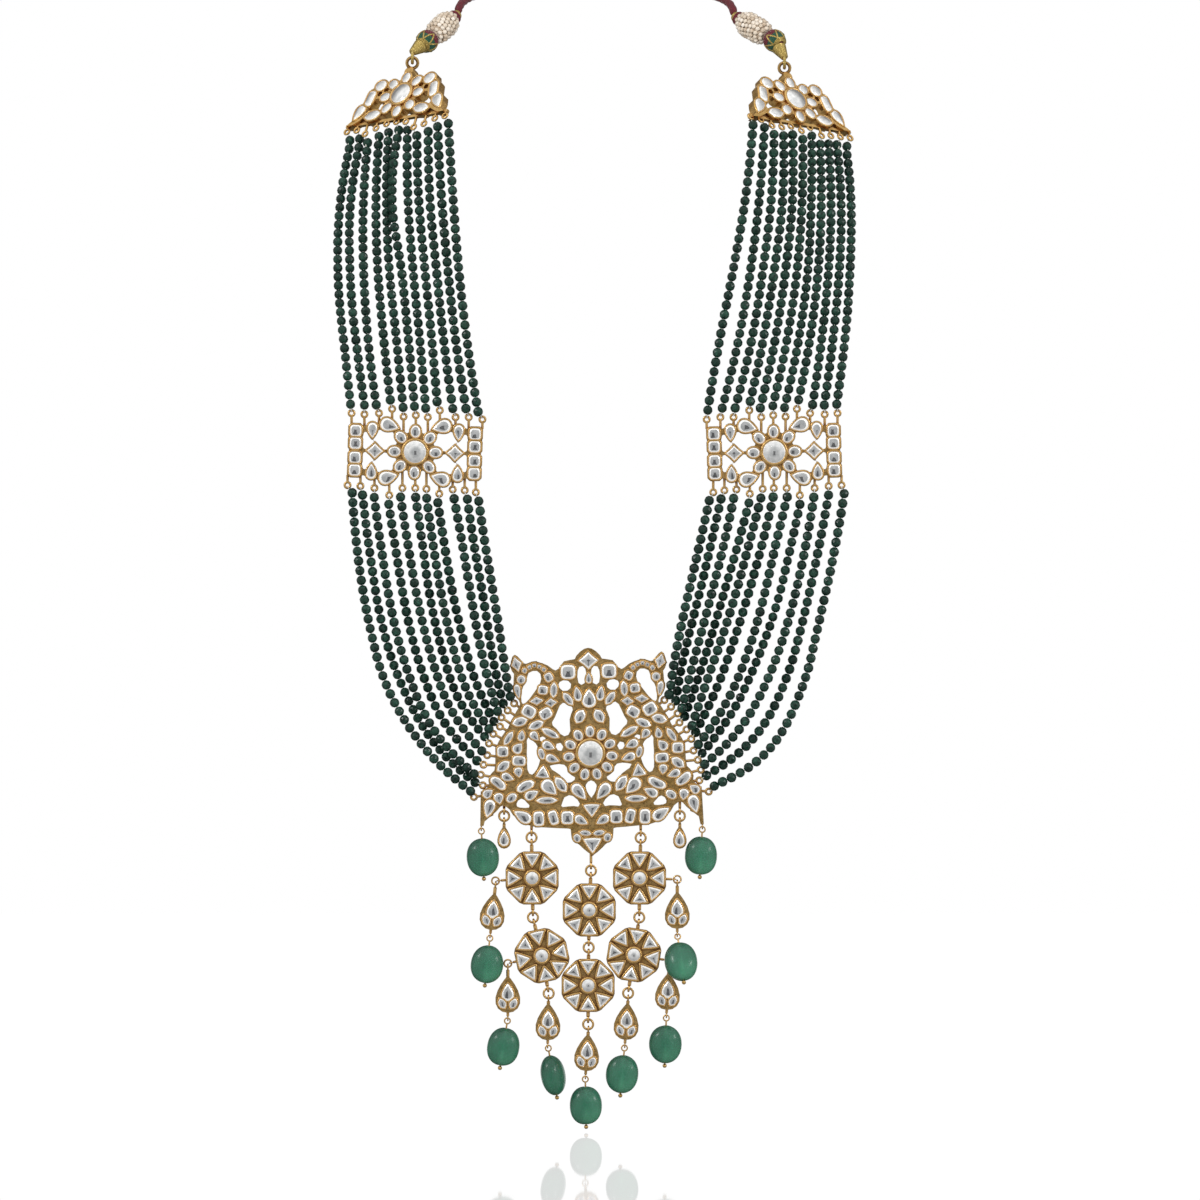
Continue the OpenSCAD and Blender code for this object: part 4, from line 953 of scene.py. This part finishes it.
def tumbled_bead(index, row):
    """A smooth flattened bead with shallow dents. Its tint is painted light: lighter at its foot, on one
    side and along its drill hole, as if lit through there.
    """
    x, z, lean, swing, turn, size = row
    drop = PIN_EYE_R + PIN_WIRE / 2 + PIN_NECK + BEAD_SIZE[2] * size / 2
    place = (Matrix.Translation((x, 0, z + PIN_EYE_R)) @ turn_about("X", -swing) @ turn_about("Y", -lean)
             @ Matrix.Translation((0, 0, -PIN_EYE_R - drop)) @ turn_about("Z", turn))
    points = []
    tints = []
    wobble = [chance.uniform(0, 6.28) for _ in range(4)]
    for i in range(BEAD_RINGS + 1):
        a = math.pi * (0.028 + 0.944 * i / BEAD_RINGS)
        up = squarish(math.cos(a), 0.93)
        out = squarish(math.sin(a), 0.93)
        for j in range(BEAD_SIDES):
            b = 2 * math.pi * j / BEAD_SIDES
            c = squarish(math.cos(b), 0.95)
            s = squarish(math.sin(b), 0.95)
            dent = 1 - 0.011 * (1 + math.sin(2 * b + wobble[0]) * math.sin(3 * a + wobble[1]))
            dent -= 0.006 * (1 + math.sin(3 * b + wobble[2] + 2 * a))
            p = Vector((BEAD_SIZE[0] / 2 * out * c * dent, BEAD_SIZE[1] / 2 * out * s * dent,
                        BEAD_SIZE[2] * size / 2 * up * dent))
            points.append(tuple(place @ p))
            # Painted light: the tint is lighter along the drill hole, towards the foot and on one side
            bore_light = 0.16 * math.exp(-(p.x / 0.7) ** 2)
            tints.append(0.5 + 0.2 * math.cos(b) - 0.42 * math.cos(a) + bore_light)
    shape = Shape()
    faces = [f[::-1] for f in rod_faces(BEAD_RINGS + 1, BEAD_SIDES)]
    shape.add(points, faces, tint=tints)
    shape.piece(f"tumbled_bead_{index}", [JADE], "jade_drops", [f"green_bead_{index}"])


for index, row in enumerate(BEADS):
    tumbled_bead(index + 1, row)

# Cord ends: bail, thread ball and tip end
ENDS = {
    "left": ((-62.7, 36.2, 374.6), (-57.6, 41.5, 382.4), (-46.7, 57, 392.7)),
    "right": ((68.3, 36.2, 372.8), (64.9, 41.5, 382.6), (50.6, 57, 392)),
}
NECK_RING_R = 2.1
NECK_RING_POINTS = 96
BALL_R = 4.1
BALL_CORE_R = BALL_R * 0.88
WINDING_R = 3.80
WINDING_THREAD_R = 0.27
WINDING_POINTS = 44
PETAL_R = 3.98
PETALS = 6
BUNDLE_R = 4.7
STRANDS = 15
PEARL_ROW = 1.56
COLLAR_R = 2.15
COLLAR_LEN = 1.5
TIP_LEN = 3.4


def wound_rows(start, end, r0, r1, pitch, ridge):
    """Profile rows of a thread wound closely round a cone."""
    count = max(2, round((end - start) / pitch))
    rows = []
    for i in range(count):
        for share, bulge in ((0.0, 0.0), (0.25, 0.7), (0.5, 1.0), (0.75, 0.7)):
            t = (i + share) / count
            rows.append((start + (end - start) * t, r0 + (r1 - r0) * t + ridge * bulge))
    rows.append((end, r1))
    return rows


def wound_ball(shape, middle, axis):
    """Thread wound in rings over a ball, with gold thread crossing on the side of the neck."""
    side, other, along = frame_along(axis)
    turns = [math.radians(a) for a in range(-85, 86, 10)]
    core = [(BALL_CORE_R * math.sin(a), BALL_CORE_R * math.cos(a)) for a in turns]
    turned(shape, middle, axis, core, sides=32)
    for angle in range(-66, 76, 6):
        slot = 2 if angle < -44 else 1 if angle < -10 else 0
        radius = WINDING_R if slot == 0 else WINDING_R - 0.06
        a = math.radians(angle)
        height = along * radius * math.sin(a)
        path = ring_points(middle + height, radius * math.cos(a), side, other, WINDING_POINTS)
        tube(shape, path, WINDING_THREAD_R, sides=6, closed=True, slot=slot)
    n = 14 * PETALS
    for start, thick in ((0.0, 0.19), (0.06, 0.17)):
        path = []
        for i in range(n):
            share = (i / n * PETALS + start) % 1
            a = math.radians(-50 + 66 * (1 - abs(2 * share - 1)))
            b = 2 * math.pi * i / n
            out = math.cos(a) * (math.cos(b) * side + math.sin(b) * other) + math.sin(a) * along
            path.append(middle + PETAL_R * out)
        tube(shape, path, thick, sides=6, closed=True, slot=2)


def pearl_bundle(shape, start, axis, length):
    """Strands of seed pearls laid round a bundle, on a pale core."""
    side, other, along = frame_along(axis)
    core = [(0.2, 0.5), (0.6, 2.2), (3.4, BUNDLE_R - 1.4), (length - 4, BUNDLE_R - 1.4),
            (length - 0.5, 1.2), (length, 0.4)]
    turned(shape, start, axis, core, sides=20, tint=0.1)
    rows = round((length - 1.2) / PEARL_ROW)
    for i in range(rows):
        t = 0.9 + (length - 1.9) * i / (rows - 1)
        swell = min(1.0, 0.52 + t * 0.16 if t < 4 else 0.50 + (length - t) * 0.145)
        orbit = (BUNDLE_R - 0.85) * swell
        count = max(7, round(STRANDS * swell))
        for j in range(count):
            a = 2 * math.pi * (j + 0.5 * (i % 2)) / count + 0.08 * i
            lift = chance.uniform(-0.12, 0.1)
            middle = start + along * (t + chance.uniform(-0.12, 0.12))
            middle = middle + (orbit + lift) * (math.cos(a) * side + math.sin(a) * other)
            radius = chance.uniform(0.80, 0.90)
            tint = chance.uniform(0, 1)
            ball(shape, middle, radius, along + 0.3 * side, sides=10, rings=6, tint=tint)


def wrapped_neck(shape, bail, middle):
    """A ring of wound thread through the bail, and the cone that rises from it to the ball."""
    start = bail + 3.8 * UP
    reach = np.linalg.norm(middle - start) - BALL_R - 0.1
    path = ring_points(bail + NECK_RING_R * UP, NECK_RING_R, BACK, UP, NECK_RING_POINTS)
    radii = [0.50 + 0.09 * abs(math.sin(math.pi * i / 4)) for i in range(NECK_RING_POINTS)]
    tube(shape, path, radii, sides=10, closed=True)
    cone = [(-0.4, 0.4)] + wound_rows(-0.3, reach + 0.3, 1.1, 2.5, pitch=0.48, ridge=0.16)
    turned(shape, start, unit(middle - start), cone)


def bound_tip(shape, base, axis):
    """A collar of dark thread, and a cone of gold thread on it."""
    collar = wound_rows(0.02, COLLAR_LEN, COLLAR_R, 2.4, pitch=0.5, ridge=0.18)
    turned(shape, base, axis, [(0, 0.3), (0, COLLAR_R)] + collar + [(COLLAR_LEN, 1.0)], slot=1)
    top = TIP_LEN - 0.1
    cone = wound_rows(COLLAR_LEN - 0.05, top, 2.3, 1.55, pitch=0.45, ridge=0.12)
    turned(shape, base, axis, cone + [(top, 0.3)])


for side_name, places in ENDS.items():
    bail, middle, tip_end = [np.array(p) for p in places]
    axis = unit(tip_end - middle)
    shape = Shape()
    wrapped_neck(shape, bail, middle)
    shape.piece(side_name + "_zari_neck", [ZARI], "thread", [side_name + "_wrapped_neck"])

    shape = Shape()
    wound_ball(shape, middle, axis)
    shape.piece(side_name + "_wound_ball", [MAROON, GREEN, ZARI], "thread", [side_name + "_thread_ball"])

    shape = Shape()
    length = np.linalg.norm(tip_end - middle) - BALL_R - TIP_LEN - 0.6
    pearl_bundle(shape, middle + axis * (BALL_R + 0.1), axis, length)
    shape.piece(side_name + "_seed_pearls", [PEARL], "seed_pearl", [side_name + "_pearl_bundle"])

    shape = Shape()
    bound_tip(shape, tip_end - axis * (TIP_LEN + 0.4), axis)
    shape.piece(side_name + "_bound_tip", [ZARI, MAROON], "thread", [side_name + "_tip"])

# Neck cord: three strands laid together
CORD_ROUTE = [(-46.6, 57.2, 392.9), (-41.6, 69, 399.2), (-25, 99, 402.6), (0, 112, 403),
              (27, 99, 402.6), (45.4, 69, 398.8), (50.3, 57.3, 392.3)]
CORD_STEPS = 220
CORD_SIDES = 18
CORD_CORE_R = 1.16
STRAND_RISE = 0.32
STRAND_TURN = 0.85
curve, lengths = smooth_line(CORD_ROUTE, 12)
cord_length = float(lengths[-1])


def laid_strands(shape):
    """Three lobes that turn round the cord's middle, tapered at both ends."""
    points = []
    for i in range(CORD_STEPS + 1):
        s = cord_length * i / CORD_STEPS
        here = at_length(curve, lengths, s)
        ahead = at_length(curve, lengths, min(cord_length, s + 0.5))
        behind = at_length(curve, lengths, max(0, s - 0.5))
        side, other, _ = frame_along(ahead - behind)
        taper = min(1.0, 0.6 + 0.3 * min(s, cord_length - s))
        for j in range(CORD_SIDES):
            a = 2 * math.pi * j / CORD_SIDES
            strand = abs(math.cos(1.5 * a - s * STRAND_TURN))
            r = (CORD_CORE_R + STRAND_RISE * strand ** 0.7) * taper
            points.append(here + r * (math.cos(a) * side + math.sin(a) * other))
    shape.add(points, rod_faces(CORD_STEPS + 1, CORD_SIDES))


shape = Shape()
laid_strands(shape)
cord = shape.piece("neck_cord_strands", [MAROON], "neck_cord", ["neck_cord"])

# Studio: a pale glossy floor under the lowest bead, white walls, a grey front with a dark slit
FLOOR_REACH = 4
FLOOR_GAP = 0.0004
WHITE = (1.0, 1.0, 1.0)
FRONT_GREY = (0.56, 0.57, 0.58)
BACK_GREY = (0.20, 0.19, 0.18)
SLIT_GREY = (0.03, 0.03, 0.035)
SOFT_GREY = (0.27, 0.27, 0.27)
scene = bpy.context.scene


def floor_material():
    """A half-mirror that looks white and lights the necklace only a little."""
    made = bpy.data.materials.new("pale_floor")
    made.use_nodes = True
    tree = made.node_tree
    tree.nodes.clear()
    looked_at = tree.nodes.new("ShaderNodeLightPath").outputs["Is Camera Ray"]
    glow = tree.nodes.new("ShaderNodeEmission")
    glow.inputs["Color"].default_value = (*WHITE, 1)
    tree.links.new(level(tree, looked_at, 0, 1, 0.35, 1.15), glow.inputs["Strength"])
    gloss = tree.nodes.new("ShaderNodeBsdfGlossy")
    gloss.inputs["Roughness"].default_value = 0.02
    both = tree.nodes.new("ShaderNodeMixShader")
    both.inputs["Fac"].default_value = 0.4
    out = tree.nodes.new("ShaderNodeOutputMaterial")
    tree.links.new(glow.outputs[0], both.inputs[1])
    tree.links.new(gloss.outputs[0], both.inputs[2])
    tree.links.new(both.outputs[0], out.inputs["Surface"])
    return made


def math_node(tree, kind, one, two=0.0):
    """A sum of values, each a socket or a number."""
    node = tree.nodes.new("ShaderNodeMath")
    node.operation = kind
    for key, item in enumerate((one, two)):
        if isinstance(item, bpy.types.NodeSocket):
            tree.links.new(item, node.inputs[key])
        else:
            node.inputs[key].default_value = item
    return node.outputs[0]


def where_all(tree, *tests):
    """One where all tests are one, and nought elsewhere. A test: kind, value, limit."""
    share = math_node(tree, *tests[0])
    for test in tests[1:]:
        share = math_node(tree, "MULTIPLY", share, math_node(tree, *test))
    return share


def studio_walls(tree):
    """The colour that a mirror finds in each direction, with X right, Y back and Z up."""
    way_out = tree.nodes.new("ShaderNodeTexCoord")
    split = tree.nodes.new("ShaderNodeSeparateXYZ")
    tree.links.new(way_out.outputs["Generated"], split.inputs[0])
    x, y, z = split.outputs
    front = level(tree, math_node(tree, "MULTIPLY", y, -1.0), 0.86, 0.965, 0, 1)
    behind = level(tree, y, 0.0, 0.55, 0, 1)
    height = level(tree, z, -0.7, 0.9, 0.42, 1.15)
    walls = mixed(tree, front, WHITE, FRONT_GREY)
    walls = mixed(tree, behind, walls, BACK_GREY)
    walls = mixed(tree, 1.0, walls, height, "MULTIPLY")
    horizon = where_all(tree, ("GREATER_THAN", y, 0.75),
                        ("LESS_THAN", math_node(tree, "ABSOLUTE", z), 0.2))
    walls = mixed(tree, horizon, walls, WHITE)
    slit = where_all(tree, ("LESS_THAN", math_node(tree, "ABSOLUTE", x), 0.09), ("LESS_THAN", y, 0.0),
                     ("LESS_THAN", z, 0.06), ("GREATER_THAN", z, -0.28))
    return mixed(tree, slit, walls, SLIT_GREY)


def studio_world():
    """The walls for mirrors, one soft grey for matt surfaces, and white behind the necklace."""
    world = bpy.data.worlds.new("studio")
    world.use_nodes = True
    tree = world.node_tree
    tree.nodes.clear()
    ray = tree.nodes.new("ShaderNodeLightPath")
    soft = mixed(tree, ray.outputs["Is Diffuse Ray"], studio_walls(tree), SOFT_GREY)
    seen = mixed(tree, ray.outputs["Is Camera Ray"], soft, WHITE)
    back = tree.nodes.new("ShaderNodeBackground")
    tree.links.new(seen, back.inputs["Color"])
    out = tree.nodes.new("ShaderNodeOutputWorld")
    tree.links.new(back.outputs[0], out.inputs["Surface"])
    return world


foot = -NAPE[2] * MM - FLOOR_GAP
corners = [(FLOOR_REACH * i, FLOOR_REACH * j, foot) for i, j in ((-1, -1), (1, -1), (1, 1), (-1, 1))]
mesh = bpy.data.meshes.new("studio_floor")
mesh.from_pydata(corners, [], [(0, 1, 2, 3)])
mesh.materials.append(floor_material())
floor = bpy.data.objects.new("studio_floor", mesh)
floor.visible_glossy = False
scene.collection.objects.link(floor)
scene.world = studio_world()
scene.view_settings.view_transform = "Standard"

# Lights: name, place, width, power, whether mirrors show it
LIGHTS = [
    ("key_light", (-0.5, -1.6, 0.5), 0.5, 14, False),
    ("fill_light", (0.7, -1.5, 0.1), 0.6, 8, False),
    ("left_gleam", (-1.2, -0.9, 0.7), 0.3, 4, True),
    ("right_gleam", (1.3, -0.9, 0.3), 0.3, 3, True),
]
LIGHT_AIM = Vector((0, 0, -0.2))

for name, place, width, power, mirrored_too in LIGHTS:
    data = bpy.data.lights.new(name, "AREA")
    data.size = width
    data.energy = power
    lamp = bpy.data.objects.new(name, data)
    lamp.location = place
    lamp.rotation_euler = (LIGHT_AIM - Vector(place)).to_track_quat("-Z", "Y").to_euler()
    lamp.visible_glossy = mirrored_too
    scene.collection.objects.link(lamp)

# Camera, level and far off: its place, and what it sees across at the pendant, in millimetres
CAMERA_PLACE = np.array([3.36, -6000, 185.5])
SIGHT_WIDTH = 420
SENSOR_WIDTH = 36

camera_data = bpy.data.cameras.new("photo_camera")
camera_data.lens = SENSOR_WIDTH * -CAMERA_PLACE[1] / SIGHT_WIDTH
camera_data.sensor_width = SENSOR_WIDTH
camera = bpy.data.objects.new("photo_camera", camera_data)
camera.location = (CAMERA_PLACE - NAPE) * MM
camera.rotation_euler = (math.radians(90), 0, 0)
scene.collection.objects.link(camera)
scene.camera = camera
